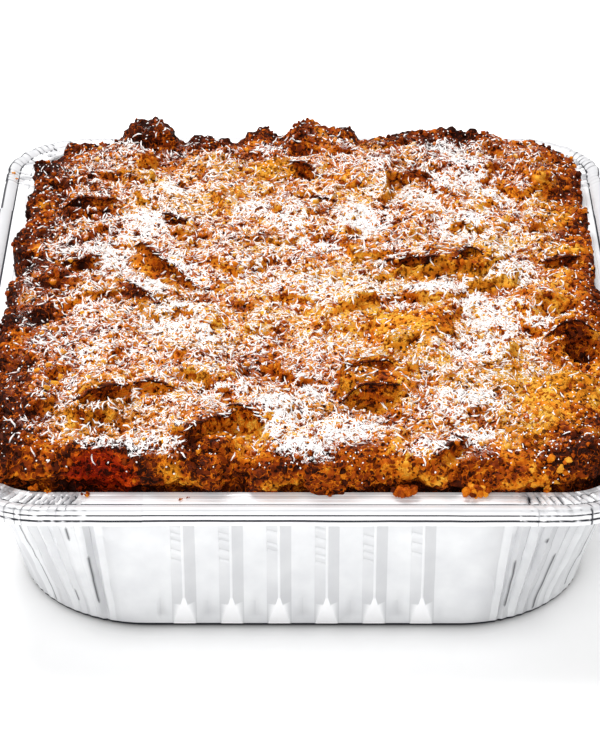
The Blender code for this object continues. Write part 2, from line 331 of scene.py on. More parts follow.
def crust_finish():
    """Baked bread: its baked tone with painted light and shade, its fibres, painted shade in gaps and pores,
    and sugar.
    """
    shader = Shader("baked_crust", Specular_IOR_Level=BREAD_SHEEN, Emission_Strength=SUGAR_GLOW)
    baked, dusted, reddened = map(shader.attribute, ("baked", "dusted", "reddened"))
    wander = shader.shifted(shader.noise(220, 2, output=1), 2.5 * MM)
    gaps = 1 - shader.noise(520, 2).step(0.36, 0.46)
    fibres = 1 - (shader.noise(340, 1) - 0.5).math("ABSOLUTE").step(0.01, 0.05)
    pores = 1 - shader.cells(390, place=wander).step(0.12, 0.27)
    mottle = shader.noise(130, 3)
    fleck = shader.noise(700, 2)
    # Painted shade in the gaps and pores, which the bump also sinks.
    sunk_and_shaded = gaps * 0.75 + pores * 0.9
    tone = baked + (mottle - 0.5) * 0.6 + (fleck - 0.5) * 0.42 + sunk_and_shaded * 0.52 + 0.04
    tone = tone - fibres * (baked * 0.45 + 0.04)
    olive = shader.noise(30, 1).step(0.46, 0.62) * (1 - baked.step(0.2, 0.5)) * 0.7
    colour = shader.mix(olive, tone.ramp(*CRUST_TONES), tone.ramp(*OLIVE_TONES))
    red = tone.ramp((0.3, srgb(206, 62, 4)), (0.7, srgb(130, 22, 1)), (1.0, srgb(48, 8, 1)))
    colour = shader.mix(reddened, colour, red)
    sugar = sugar_web(shader, dusted - sunk_and_shaded * 0.5)
    colour = shader.mix(sugar, colour, SUGAR)
    height = sunk_and_shaded * -1.0 + fleck * 0.4 + fibres * 0.5 + sugar * 0.5
    roughness = 0.45 + mottle * 0.2 + sugar * 0.3
    glow = shader.mix(sugar, (0, 0, 0, 1), SUGAR)
    bump = shader.bump(height, 0.8 * MM)
    return shader.finish(Base_Color=colour, Roughness=roughness, Emission_Color=glow, Normal=bump)


def crumb_finish(name):
    """Loose crumbs, each with the tone it was given, dusted on top like the crust."""
    shader = Shader(name, Roughness=0.5, Specular_IOR_Level=BREAD_SHEEN)
    tone = shader.attribute("baked") + (shader.noise(420, 2) - 0.5) * 0.45
    colour = shader.mix(sugar_web(shader, shader.attribute("dusted")), tone.ramp(*CRUST_TONES), SUGAR)
    return shader.finish(Base_Color=colour, Normal=shader.bump(shader.noise(1500, 2), 0.3 * MM))


def sugar_finish(name):
    glow = {"Emission_Strength": SUGAR_GLOW, "Emission_Color": SUGAR}
    shader = Shader(name, Roughness=0.7, Specular_IOR_Level=0.3, **glow)
    white = shader.noise(900, 2).ramp((0.3, srgb(238, 234, 230)), (0.7, srgb(254, 253, 252)))
    return shader.finish(Base_Color=white, Normal=shader.bump(shader.noise(2600, 2), 0.2 * MM))


def foil_finish(name, metallic, glow, *tones):
    """Bright pressed foil, rolled matt: fine crinkles, painted shade and highlight face by face, painted shade
    in tight folds.
    """
    shader = Shader(name, Metallic=metallic, Emission_Strength=glow)
    crinkle = shader.noise(90, 3)
    fine = shader.noise(700, 2)
    tint = crinkle.ramp((0.3, tones[0]), (0.7, tones[1]))
    # Painted shading, face by face: shade where it is above nothing, highlight where it is below.
    dull = shader.attribute("dull")
    tint = shader.mix(dull * 0.6, tint, FOIL_PAINTED_SHADE)
    tint = shader.mix(dull * -1.0, tint, FOIL_PAINTED_HIGHLIGHT)
    # Painted shade along tight folds.
    tint = shader.mix(shader.attribute("crease").step(0.4, 0.95), tint, FOLD_PAINTED_SHADE)
    roughness = 0.30 + fine * 0.14
    height = crinkle * 0.5 + fine * 0.02
    bump = shader.bump(height, 0.3 * MM, 0.3)
    return shader.finish(Base_Color=tint, Roughness=roughness, Emission_Color=tint, Normal=bump)


def floor_finish():
    """White, with a painted shadow greying it close to the tin's foot."""
    shader = Shader("white_floor", Roughness=0.6, Emission_Strength=0.24)
    x, y = (shader.node("ShaderNodeSeparateXYZ", None, {0: shader.place}, i).math("ABSOLUTE") for i in (0, 1))
    past_x, past_y = x - (BASE_HALF_X - BASE_CORNER), y - (BASE_HALF_Y - BASE_CORNER)
    out_x, out_y = past_x.math("MAXIMUM", 0.0), past_y.math("MAXIMUM", 0.0)
    corner = (out_x * out_x + out_y * out_y) ** 0.5
    away = corner + past_x.math("MAXIMUM", past_y).math("MINIMUM", 0.0) - BASE_CORNER
    shades = ((0.0, 0.30), (0.05, 0.42), (0.12, 0.56), (0.25, 0.69), (0.4, 0.80), (0.65, 0.91), (1.0, 1.0))
    shade = (away * (1 / CONTACT_SHADE)).ramp(*((place, (grey, grey, grey, 1)) for place, grey in shades))
    shade = shader.mix(x.step(0.06, 0.11) * 0.65, shade, (1, 1, 1, 1))
    return shader.finish(Base_Color=shade, Emission_Color=shade)


# ---- the foil tin --------------------------------------------------------------------------------

# Each corner's pleats, the columns of points across one, and what share of a corner at each end is one wide,
# nearly plain pleat.
PLEATS, PLEAT_LINES, CORNER_MARGIN = 16, (0.0, 0.25, 0.40, 0.45, 0.55, 0.60), 0.13
# Painted shade draws the long dark lines in the corners.
PAINTED_LINE_SHADE = 0.83  # how dark the long lines in the corners are
# Pleats with such a line: the corner's side and the pleat, and from what height up to what height, in
# millimetres.
PAINTED_FOLD_LINES = {
    (3, 8): (2, 46), (3, 11): (8, 16), (3, 12): (42, 50), (3, 13): (10, 36),
    (0, 3): (8, 34), (0, 5): (40, 44), (0, 6): (2, 34), (0, 10): (6, 48),
    (1, 4): (3, 36), (1, 9): (10, 30), (2, 5): (4, 34), (2, 11): (8, 40),
}
CRIMPS, CRIMP_CELLS = 40, 4  # round each corner of the rim, and cells across one
BLANK_CELLS, PLAIN_CELLS = 3, 24  # beside the ribs, and along a side of the rim
WALL_ROWS = 51
# Lines down one rib and half the panels beside it, in millimetres from its middle: a fixed part, and a share
# of the half width of the hip at its foot, which its inner lines follow.
RIB_LINES = (
    (-9, 0), (-6.6, 0), (-4.65, 0), (-4.35, 0), (-0.3, -0.88), (-0.12, -0.86),
    (0, 0), (0.12, 0.86), (0.3, 0.88), (4.35, 0), (4.65, 0), (6.6, 0),
)

# The rim from the top of the wall to its turned-in hem: inset from the outer edge, height, and how dark the
# painted shade of the fold line is there. Millimetres.
RIM_PROFILE = (
    (12.9, 62.0, 0), (13.6, 63.6, 0), (14.3, 64.7, 0), (13.9, 65.3, 0), (12.2, 65.3, 0), (11.7, 65.1, 0.5),
    (11.3, 65.1, 0.5), (10.9, 65.25, 0), (9.2, 65.15, 0), (8.9, 64.9, 0.45), (8.6, 65.1, 0), (7.2, 65.0, 0),
    (6.7, 64.7, 0.4), (6.5, 64.5, 1), (5.9, 64.5, 1), (5.7, 64.8, 0.2), (5.2, 65.2, 0), (4.4, 65.6, 0),
    (3.3, 65.9, 0), (2.2, 66.0, 0), (1.4, 65.9, 0), (1.0, 65.7, 0.1), (0.75, 65.5, 0.55), (0.4, 65.2, 0.3),
    (0.1, 64.6, 0), (0.0, 64.1, 0), (0.1, 63.95, 0.3), (0.45, 63.85, 1), (0.45, 63.35, 1), (0.1, 63.2, 0.2),
    (0.0, 61.9, 0), (0.1, 61.7, 0.3), (0.45, 61.55, 1), (0.45, 60.85, 1), (0.1, 60.7, 0.3), (0.05, 60.4, 0),
    (0.25, 59.3, 0), (0.5, 58.9, 0.3), (1.5, 59.2, 0.8), (1.6, 60.0, 1),
)
BEAD_INSET, FLANGE_INSET, BEAD_Z = 6, 6.6, 64.7  # where the bead ends and the flange begins, and their height
# Painted shading on the bead's top, below it, and on the flange: shade on the first two, highlight on the last.
RIM_PAINTED_SHADING, UNDER_PAINTED_SHADING, FLANGE_PAINTED_SHADING = 0.75, 0.2, -0.35  # on the bead's top, below it, and on the flange
# The base from its middle out: inset from the wall, height, and how dark the painted shade of its edge on the
# floor is.
BASE_PROFILE = (
    (34.0, 0.5, 0), (9.0, 0.5, 0), (7.6, 0.0, 0), (3.0, 0.0, 1), (0.9, 0.0, 1), (0.2, 0.1, 1), (0.0, 0.5, 1),
    (0.0, 0.95, 1), (0.0, 1.15, 0), (0.0, 1.6, 0),
)
MIDDLE_INSET = 33.5 * MM  # only the base's innermost ring lies further in than this
SIDES = (((1, 0), (0, -1)), ((0, 1), (1, 0)), ((-1, 0), (0, 1)), ((0, -1), (-1, 0)))  # along, and outwards


def wall_columns():
    """Where each column of the wall lies round the tin: the side, the stretch of it, and a place along that.

    A place in a ribbed stretch is a distance from the side's middle, and a share of the way in the others. A
    ribbed column also has its share of the hip and its rib's middle, and a corner's its pleat and where it
    lies in that.
    """
    columns = []
    for side in range(4):
        reach = rib_reach(side)
        columns += [(side, "before", i / BLANK_CELLS) for i in range(BLANK_CELLS)]
        for rib in range(RIBS_LONG_SIDE if side % 2 else RIBS_SHORT_SIDE):
            middle = (rib + 0.5) * RIB_PITCH - reach
            columns += [(side, "ribs", middle + fixed * MM, share, middle) for fixed, share in RIB_LINES]
        columns += [(side, "after", i / BLANK_CELLS) for i in range(BLANK_CELLS)]
        inner = [CORNER_MARGIN + (1 - 2 * CORNER_MARGIN) * i / (PLEATS - 2) for i in range(PLEATS - 1)]
        edges = [0.0, *inner, 1.0]
        for which in range(1, PLEATS - 1):
            edges[which] += 0.016 * noise.noise((which * 2.7, side * 3.1, 0.6))
        for which in range(PLEATS):
            wide = edges[which + 1] - edges[which]
            columns += [(side, "corner", edges[which] + wide * line, which, line) for line in PLEAT_LINES]
    return columns


def rim_columns():
    """The same for the rim, which is plain along its sides and gathered round its corners."""
    cells = CRIMPS * CRIMP_CELLS
    columns = []
    for side in range(4):
        reach = rib_reach(side)
        columns += [(side, "before", 0.0)]
        columns += [(side, "ribs", (2 * i / PLAIN_CELLS - 1) * reach) for i in range(PLAIN_CELLS)]
        columns += [(side, "after", 0.0)]
        columns += [(side, "corner", i / cells) for i in range(cells)]
    return columns


def rib_reach(side):
    return (RIBS_LONG_SIDE if side % 2 else RIBS_SHORT_SIDE) * RIB_PITCH / 2


def corner_start(side):
    """How far along its side from the middle a corner begins, on the base as on every ring above it."""
    return (BASE_HALF_Y if side % 2 else BASE_HALF_X) - BASE_CORNER


def wall_at(z):
    """Half sizes and corner radius of the wall's inner face at this height."""
    up = z / WALL_TOP_Z
    half_x = BASE_HALF_X + (RIM_HALF_X - WALL_TOP_INSET - BASE_HALF_X) * up
    half_y = BASE_HALF_Y + (RIM_HALF_Y - WALL_TOP_INSET - BASE_HALF_Y) * up
    return half_x, half_y, BASE_CORNER + (RIM_CORNER - WALL_TOP_INSET - BASE_CORNER) * up**CORNER_CURVE


def hip_width(z):
    """Half the width of the hip that closes each rib at its foot."""
    return RIB_HALF_WIDTH * min(1.0, max(0.0, 1 - (z - FOIL) / (RIB_FOOT_Z - FOIL)))


def dent_levels(side, middle):
    """The heights of the small dents down a rib's left face, drawn for that rib alone."""
    rng = np.random.default_rng(int(1000 + side * 100 + middle * 1000))
    return (29 + 6.2 * rng.random() + np.cumsum(rng.uniform(2.8, 5.6, 7))) * MM


def wall_press(column, z, _):
    """How far the wall is pressed out and up here, how dark the painted fold shade is, and the foil's painted
    shading.
    """
    side, stretch, place = column[:3]
    if stretch == "corner":
        return pleat(side, place, column[3], column[4], z)
    if stretch != "ribs":
        return 0.0, 0.0, 0.0, 0.0
    hip = hip_width(z)
    off = place - column[4] + column[3] * hip
    ridge = max(0.0, 1 - abs(off) / RIB_HALF_WIDTH)
    row = (WALL_TOP_Z - 4.2 * MM) / WALL_ROWS
    dent = float(np.min(np.abs(dent_levels(side, column[4]) - z)) < row * 0.5) * (-4.4 * MM < off < -0.2 * MM)
    dent *= z < 62 * MM
    hollow = max(0.0, 1 - (RIB_PITCH / 2 - abs(off)) / (4.2 * MM) - max(0.0, z - 6 * MM) / (14 * MM))
    hollow *= smoothstep(2 * MM, 6 * MM, z)
    # Painted shade on the hollows by the ribs, low down, on the rib faces and the dents; painted highlight on
    # ridge and hip.
    dull = 0.0
    if abs(off) > RIB_HALF_WIDTH:
        dull = hollow * 0.5 + 0.10 * (1 - smoothstep(0, 16 * MM, z))
    elif abs(off) > hip + (0.2 - 0.13 * hip / RIB_HALF_WIDTH) * MM:
        low = 1 - smoothstep(10 * MM, 30 * MM, z)
        dull = 0.50 + 0.18 * low if off > 0 else 0.20 + 0.44 * low
    elif z > RIB_FOOT_Z:
        dull = -0.25
    else:
        dull = -0.9
    swell = RIB_DEPTH * min(ridge, 1 - hip / RIB_HALF_WIDTH) - dent * 0.35 * MM - hollow * 0.9 * MM
    return swell, 0.0, 0.0, dull + dent * 0.35


def pleat(side, place, which, line, z):
    """A corner's folds: sharp and uneven, each face painted as bright as what it mirrors, some folds in painted
    shade.
    """
    strength = min(1.3, max(0.12, 0.6 + 1.3 * noise.noise((which * 1.73, z * 16, side * 7.3))))
    ends = smoothstep(0.13, 0.2, place) * smoothstep(0.13, 0.2, 1 - place)
    press = strength * ends * (0.2 + 0.8 * smoothstep(1 * MM, 7 * MM, z))
    fold = 1 - abs(line - 0.5) * 2
    low, high = (level * MM for level in PAINTED_FOLD_LINES.get((side, which), (0, 0)))
    deep = smoothstep(low - 1 * MM, low + 1 * MM, z) * (1 - smoothstep(high - 2 * MM, high + 2 * MM, z))
    crumple = noise.noise((place * 21 + z * 50, z * 40 - place * 9, side * 5.0))
    near = smoothstep(0.05, 0.18, place) * smoothstep(0.05, 0.18, 1 - place)
    ridge = (0.25 - min(0.25, abs(crumple))) * near * smoothstep(6 * MM, 20 * MM, z)
    # Painted reflection: each facet's own brightness, with painted shade deepest where the fold is pressed
    # hardest.
    facet = 0.5 + 1.1 * noise.noise((which * 5.3 + (line > 0.5) * 2.1, side * 4.7, 0.5))
    facet = min(0.75, max(0.0, facet))
    dull = near * (facet + (1.4 * press if 0.42 < line < 0.5 else 0.0))
    inwards = 0.6 * near * smoothstep(1 * MM, 12 * MM, z)
    swell = (0.2 - fold) * 2.6 * press + ridge * 2.0 - inwards
    return swell * MM, 0.0, deep * PAINTED_LINE_SHADE * (line == 0), dull


def rim_press(column, z, inset):
    """The same for the rim. Its corners are gathered: crimps run out over the flange, and shake the bead."""
    side, stretch, place = column
    # Painted shade: dark outlines along the bead and dark crimp grooves; painted shading on the crimps' facets.
    gathered = stretch == "corner"
    outlined = side in (1, 2) if gathered else side > 0
    dark = 0.9 if gathered or side != 2 else 0.66
    outline = dark * (outlined and 0.5 < inset < (1.1 if side % 2 else 1.5))
    dull = RIM_PAINTED_SHADING if inset < BEAD_INSET and z > BEAD_Z * MM else UNDER_PAINTED_SHADING
    if not gathered:
        return 0.0, 0.0, outline, dull if inset < BEAD_INSET else FLANGE_PAINTED_SHADING
    ends = smoothstep(0.16, 0.23, place) * smoothstep(0.16, 0.23, 1 - place)
    phase = place * CRIMPS + 0.9 * noise.noise((place * 11, side * 3.3, inset * 0.09))
    strength = ends * min(1.4, max(0.0, 0.95 + 1.5 * noise.noise((math.floor(phase) * 2.1, side * 1.7, 0.9))))
    groove = max(0.0, 1 - abs(phase % 1.0 - 0.5) * 4) * strength
    wave = noise.noise((place * 34, side * 2.3, 0.4)) * ends
    if inset > FLANGE_INSET:
        flat = min(1.0, (14 - inset) / 3) if inset < 14 else 0.0
        facet = 0.1 + 2.2 * noise.noise((math.floor(phase + 0.5) * 3.7, side * 2.3, inset * 0.12))
        return 0.0, -groove * 1.8 * MM * flat, groove * 1.3 * flat, ends * facet * 1.5 + groove * 0.6
    fold = max(groove * 0.78, outline)
    return wave * 0.5 * MM - 0.25 * MM, wave * 0.4 * MM - 0.25 * MM, fold, dull + groove * 0.6


def side_point(side, s, n):
    """The place s along a side from its middle and n outwards from the tin's own."""
    along, out = SIDES[side % 4]
    return along[0] * s + out[0] * n, along[1] * s + out[1] * n


def ring_point(column, half_x, half_y, radius, swell, z):
    """The x and y of a column on a ring with these half sizes and this corner radius."""
    side, stretch, place = column[:3]
    halves = (half_x, half_y)
    out, next_out = halves[(side + 1) % 2], halves[side % 2]
    end, next_end = next_out - radius, out - radius
    if stretch == "ribs":
        hipped = column[3] * hip_width(z) if len(column) > 3 else 0.0
        return side_point(side, place + hipped, out + swell)
    start, reach = corner_start(side), rib_reach(side)
    if stretch != "corner":
        s = reach + (start - reach) * place if stretch == "after" else -start + (start - reach) * place
        return side_point(side, s, out + swell)
    before, after = max(0.0, end - start), max(0.0, next_end - corner_start(side + 1))
    arc = radius * math.pi / 2
    gone = place * (before + arc + after)
    if gone < before:
        return side_point(side, start + gone, out + swell)
    if gone > before + arc:
        return side_point(side + 1, gone - before - arc - next_end, next_out + swell)
    turn, reach = (gone - before) / radius, radius + swell
    return side_point(side, end + reach * math.sin(turn), out - radius + reach * math.cos(turn))


def wall_rings():
    """The rings from the base to the top of the wall: half sizes, radius, height, darkness, inset."""
    rings = []
    for inset, z, dark in BASE_PROFILE:
        half_x, half_y, radius = (size - inset * MM for size in wall_at(z * MM))
        rings.append((half_x, half_y, radius, z * MM + FOIL, dark, 0))
    low, high = 2.2 * MM, WALL_TOP_Z - 2 * MM
    for i in range(WALL_ROWS + 1):
        z = low + (high - low) * i / WALL_ROWS
        rings.append((*wall_at(z), z, 0, 0))
    return rings


def rim_rings():
    """The same for the rim, from the top of the wall to its hem."""
    rings = []
    for inset, z, dark in RIM_PROFILE:
        half_x, half_y, radius = (size - inset * MM for size in (RIM_HALF_X, RIM_HALF_Y, RIM_CORNER))
        rings.append((half_x, half_y, radius, z * MM, dark, inset))
    return rings


def wrapped_sheet(name, columns, rings, press):
    """A sheet of foil bent into closed rings, slightly dented, with everything that is pressed into it, and its
    painted shading.
    """
    wide, high = len(columns) + 1, len(rings)
    bpy.ops.mesh.primitive_grid_add(x_subdivisions=wide - 1, y_subdivisions=high - 1, size=1)
    sheet = bpy.context.object
    sheet.name = sheet.data.name = name
    points = np.empty((high, wide, 3))
    painted_fold_shades, painted_shadings = np.empty((2, high, wide))
    for r, (half_x, half_y, radius, z, dark, inset) in enumerate(rings):
        for c in range(wide):
            column = columns[c % len(columns)]
            swell, lift, fold, dull = press(column, z, inset)
            points[r, c] = *ring_point(column, half_x, half_y, radius, swell, z), z + lift
            # Painted shade along the folds, broken into dashes round the rim's gathered corners.
            gathered = inset > 0 and column[1] == "corner" and 0.16 < column[2] < 0.84
            broken = 1.3 * noise.noise((column[2] * 60, column[0] * 2.1, r * 0.7)) if gathered else 0.0
            painted_fold_shades[r, c] = max(dark * (1.0 + broken), fold)
            painted_shadings[r, c] = dull
    points = points.reshape(-1, 3)
    wide_dents, small_dents = ([noise.noise(Vector(p) / size) for p in points] for size in (24 * MM, 8 * MM))
    dents = np.array(wide_dents) + 0.5 * np.array(small_dents)
    outwards = points * (1, 1, 0)
    outwards /= np.linalg.norm(outwards, axis=1)[:, None]
    inside = smoothstep(0, 6 * MM, points[:, 2]) * (points[:, 2] < WALL_TOP_Z - 2 * MM)
    points += outwards * (dents * inside * 0.35 * MM)[:, None]
    low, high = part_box("foil_tin")
    put_points(sheet.data, np.clip(points, low[:], high[:]))
    give(sheet, "crease", np.clip(painted_fold_shades, 0, 1).ravel())
    give(sheet, "dull", painted_shadings.ravel())
    edit(sheet)
    merge_doubles()
    face_outwards()
    return sheet


def thicken(sheet, end, finish):
    """Gives the sheet its thickness, on the under side of its lowest face with min, its highest with max."""
    face = end(sheet.data.polygons, key=lambda face: face.center.z)
    apply_modifier(sheet, "SOLIDIFY", thickness=FOIL, offset=1 if face.normal.z < 0 else -1)
    pick(sheet)
    bpy.ops.object.shade_smooth_by_angle(angle=math.radians(17))
    wear(sheet, finish)


def foil_tin():
    """The tin's wall and base, and the rim rolled over its edge."""
    wall = wrapped_sheet("tin_wall", wall_columns(), wall_rings(), wall_press)
    select_middle(wall)
    bpy.ops.mesh.edge_face_add()
    face_outwards()
    rim = wrapped_sheet("tin_rim", rim_columns(), rim_rings(), rim_press)
    thicken(wall, min, foil_finish("pressed_foil", 0.5, WALL_GLOW, srgb(218, 219, 221), srgb(229, 230, 231)))
    thicken(rim, max, foil_finish("rolled_foil", 0.25, RIM_GLOW, srgb(228, 228, 230), srgb(238, 238, 239)))
    return wall, rim


def select_middle(tin):
    """In edit mode, selects the open ring in the middle of the base."""
    edit(tin)
    done()
    reach_x, reach_y = BASE_HALF_X - MIDDLE_INSET, BASE_HALF_Y - MIDDLE_INSET
    for vert in tin.data.vertices:
        x, y, z = vert.co
        vert.select = z < 2 * MM and abs(x) < reach_x and abs(y) < reach_y
    bpy.ops.object.mode_set(mode="EDIT")


# ---- the crust -----------------------------------------------------------------------------------

# Crusts that lift along one edge, over a recess that shows the bread under them: the edge's middle x and y,
# its length and turn, how far it rises, and how far it leans out, in millimetres and degrees. The recess lies
# to the right of the edge's own direction.
LIPS = (
    (-92, 72, 24, 5, 2.6, 2.2),
    (-53, 52, 14, -25, 2.5, 2.0),
    (-92, 8, 20, 20, 3.0, 2.0),
    (-55, 7, 45, -51, 3.5, 2.0),
    (-65, -14, 26, -60, 1.1, 1.2),
    (1, 104, 22, -48, 3.5, 2.0),
    (6, 71, 18, -12, 2.5, 1.5),
    (46, 6, 27, -16, 5.0, 3.5),
    (64.5, 6.7, 15, 59, 4.5, 2.0),
    (72.2, 6.7, 15, -60, 4.5, 2.0),
    (106, 20, 18, 20, 3.0, 2.0),
    (105, -51, 20, -6, 3.0, 2.0),
    (26, -86, 20, 14, 4.5, 3.0),
    (25, -104, 24, 0, 2.0, 1.0),
    (-76.5, -105, 25, 26, 4.5, 3.5),
    (-57, -96, 16, -14, 3.0, 2.0),
    (-34.5, -127.4, 31, 48, 5.2, 3.0),
    (-21, -122.2, 18, -40, 5.0, 1.5),
    (54, -139, 18, 46, 3.5, 1.5),
)
LIP_BACK, LIP_FRONT, LIP_STEP = 13 * MM, 11 * MM, 0.9 * MM  # reach of its rise and recess, and half its edge
LIP_JAG, LIP_BOW = 1.3, 1.2  # how far the edge wanders and bows, in millimetres
LIPS_ABOVE_Z, CHUNKS_ABOVE_Z = 70 * MM, 68 * MM
RECESS = 0.65 * MM  # for each millimetre that the lip rises

# Where the crust swells up, or down where the height is less than nothing: middle x and y, half width and
# depth, and height, in millimetres.
SWELLS = (
    (70, 0, 8, 6.5, 2.6),
    (31, -96, 16, 8, 3.0),
    (42, -48, 22, 20, 2.2),
    (-76, -92, 20, 9, 1.8),
    (5, 84, 16, 10, 2.6),
    (96, -24, 10, 9, 2.4),
    (1, 143, 5, 8, 4.0),
    (-110, 143, 26, 24, -8.0),
    (97, 147, 8, 9, -4.0),
    (-75, 142, 4.5, 9, 5.0),
    (-65, 142, 4, 9, 3.0),
    (-42, 143, 19, 9, -4.2),
    (-27, 143, 6, 9, -2.5),
    (-9, 143, 4, 8, -2.5),
    (32, 143, 14, 9, -3.2),
    (49, 143, 5, 8, -3.0),
    (72, 143, 6, 8, -5.0),
    (112, 142, 11, 14, -9.0),
    (96, 151, 12, 7, -4.0),
    (93, 146, 3.5, 7, -5.0),
    (-85, 143, 4, 8, -4.0),
    (-55, 143, 4, 8, -4.0),
    (119, 128, 6, 14, -4.0),
    (-97, -120, 13, 13, 2.6),
    (88, -126, 13, 12, 2.4),
    (100, 84, 12, 16, 2.6),
    (-96, 96, 12, 12, 2.6),
)
# Cubes of bread that show best in the crust: the middle of the top, its width and depth, how it is turned and
# how far it tips, in millimetres and degrees. The rest lie at random.
CUBES = (
    (68, 3, 84.0, 15, 12, -8, 16),
    (30, -94, 82.5, 30, 20, 4, 16),
    (-77, -95, 81.0, 21, 15, -4, 12),
    (-31, -129, 79.5, 24, 15, 18, 20),
    (90, 94, 80.5, 14, 12, -20, 16),
    (28, 22, 84.0, 18, 12, 14, 10),
)
MORE_CUBES, EDGE_CUBES, CUBE_DEPTH = 26, 34, 14

# Where the crust leans in or out: middle x and y, reach, and how far in x and y, in millimetres.
LEANS = ((-121, 105, 50, 2.8, 0.0), (119, 138, 16, 1.6, 1.0))
# Hollows in the crust: middle x, y and z, radius and depth, in millimetres.
HOLLOWS = (
    (107, -58, 80, 9, 6.0),
    (-75, -152, 69.5, 16.5, 5.0),
    (-96, 56, 80, 9, 3.5),
    (92, 118, 79, 8, 4.0),
    (-22, -150, 74, 9, 3.0),
    (62, -152, 74, 10, 3.0),
    (12, -152, 72, 8, 2.5),
    (-104, -30, 78, 7, 3.0),
    (112, 20, 78, 7, 3.0),
)
FORM_GRAIN, CRUST_GRAIN = 1.3 * MM, 0.93 * MM  # the fineness of the first and of the second remesh
CAP_MARGIN = 28 * MM  # how far inside the outline the cap of the crust begins
CAP_FLOOR_Z = 62 * MM
CHUNK = 21 * MM  # about how wide a chunk of bread is
TUCK = 4.8 * MM  # how far the crust shrank from the front rim
EASE = 1.6 * MM  # how near to the solid's box the crust is eased back


def edge_distance(x, y):
    """How far inside the crust's outline a place is, seen from above."""
    past_x = np.abs(x) - (CRUST_HALF_X - CRUST_CORNER)
    past_y = np.abs(y) - (CRUST_HALF_Y - CRUST_CORNER)
    beyond = np.hypot(np.maximum(past_x, 0), np.maximum(past_y, 0))
    return CRUST_CORNER - beyond - np.minimum(np.maximum(past_x, past_y), 0)


def lift_lips(points):
    """Raises each lip and leans it over its recess; tells each point's painted shade by the edge, and bare
    bread.
    """
    painted_lip_shade = np.zeros(len(points))
    bread = np.zeros(len(points))
    for x, y, length, turn, rise, lean in LIPS:
        turn = math.radians(turn)
        rel = points[:, :2] - (x * MM, y * MM)
        along = rel @ (math.cos(turn), math.sin(turn)) / (length * MM / 2)
        behind = rel @ (-math.sin(turn), math.cos(turn))
        near = (np.abs(along) < 1) & (np.abs(behind) < 30 * MM) & (points[:, 2] > LIPS_ABOVE_Z)
        near = np.flatnonzero(near)
        along, behind = along[near], behind[near]
        jag = np.array([noise.noise((s * length / 5, x, y)) for s in along]) * LIP_JAG * MM
        behind = behind + jag + along**2 * LIP_BOW * MM
        ends = np.clip(1 - along**2, 0, 1) ** 0.7
        wide = min(1.6, max(0.6, length / 22))
        up = 1.2 * rise * MM * np.exp(-((np.maximum(behind, 0) / LIP_BACK) ** 2))
        down = -RECESS * rise * np.exp(-((np.minimum(behind, 0) / (LIP_FRONT * wide)) ** 2))
        step = smoothstep(-LIP_STEP, LIP_STEP, behind)
        points[near, 2] += (down + (up - down) * step) * ends
        out = 0.5 * lean * MM * ends * step * np.exp(-((behind / (4 * MM)) ** 2))
        points[near, 0] += math.sin(turn) * out
        points[near, 1] -= math.cos(turn) * out
        # Painted shade: a dark line along the lip's edge, and shade in the recess just under it.
        brow = smoothstep(-0.1 * MM, 0.4 * MM, behind) * (1 - smoothstep(0.9 * MM, 1.7 * MM, behind))
        shade = 0.5 * smoothstep(-4 * MM, -0.6 * MM, behind) * (behind < 0.2 * MM)
        painted_lip_shade[near] = np.maximum(painted_lip_shade[near], ends * np.maximum(brow, shade))
        below = smoothstep(-6.5 * MM * wide, -4 * MM * wide, behind) * (behind < 0.8 * MM)
        bread[near] = np.maximum(bread[near], ends * below)
    return painted_lip_shade, bread


def chunk_level(place):
    """How high the chunk of bread here lies in millimetres, and how near the gap to the next is, 0 to 1."""
    flat = Vector((place[0], place[1], 0))
    seen = flat / CHUNK + noise.noise_vector(flat / (8 * MM)) * 0.2 + Vector((0, 0, 0.3))
    away, centres = noise.voronoi(seen)
    levels = []
    for centre in centres[:2]:
        tilt = noise.noise_vector(centre * 5.1)
        levels.append(noise.noise(centre * 3.7) * 5.6 + tilt.xy.dot((seen - centre).xy) * 5.0)
    apart = away[1] - away[0]
    own = 0.5 + 0.5 * smoothstep(0, 0.10, apart)
    return levels[0] * own + levels[1] * (1 - own), max(0.0, 1 - apart / 0.14)


def tuck_front(points):
    """Draws the crust back from the front rim, where it shrank from the tin."""
    wave = np.array([noise.noise((x / (8 * MM), 0.4, 0.7)) for x in points[:, 0]]) * 2.6 * MM
    low = 1 - smoothstep(65.5 * MM + wave, 69 * MM + wave, points[:, 2])
    points[:, 1] += TUCK * low * smoothstep(-110 * MM, -142 * MM, points[:, 1])


def outline_at(angle, inset):
    """The place on the crust's outline in this direction, moved in by the inset, and the way it faces."""
    x, y = math.cos(angle), math.sin(angle)
    low, high = 0.0, 200 * MM
    for _ in range(24):
        middle = (low + high) / 2
        low, high = (middle, high) if edge_distance(x * middle, y * middle) > inset else (low, middle)
    x, y, step = x * low, y * low, 0.5 * MM
    slope_x = edge_distance(x - step, y) - edge_distance(x + step, y)
    slope_y = edge_distance(x, y - step) - edge_distance(x, y + step)
    return x, y, math.atan2(slope_y, slope_x)


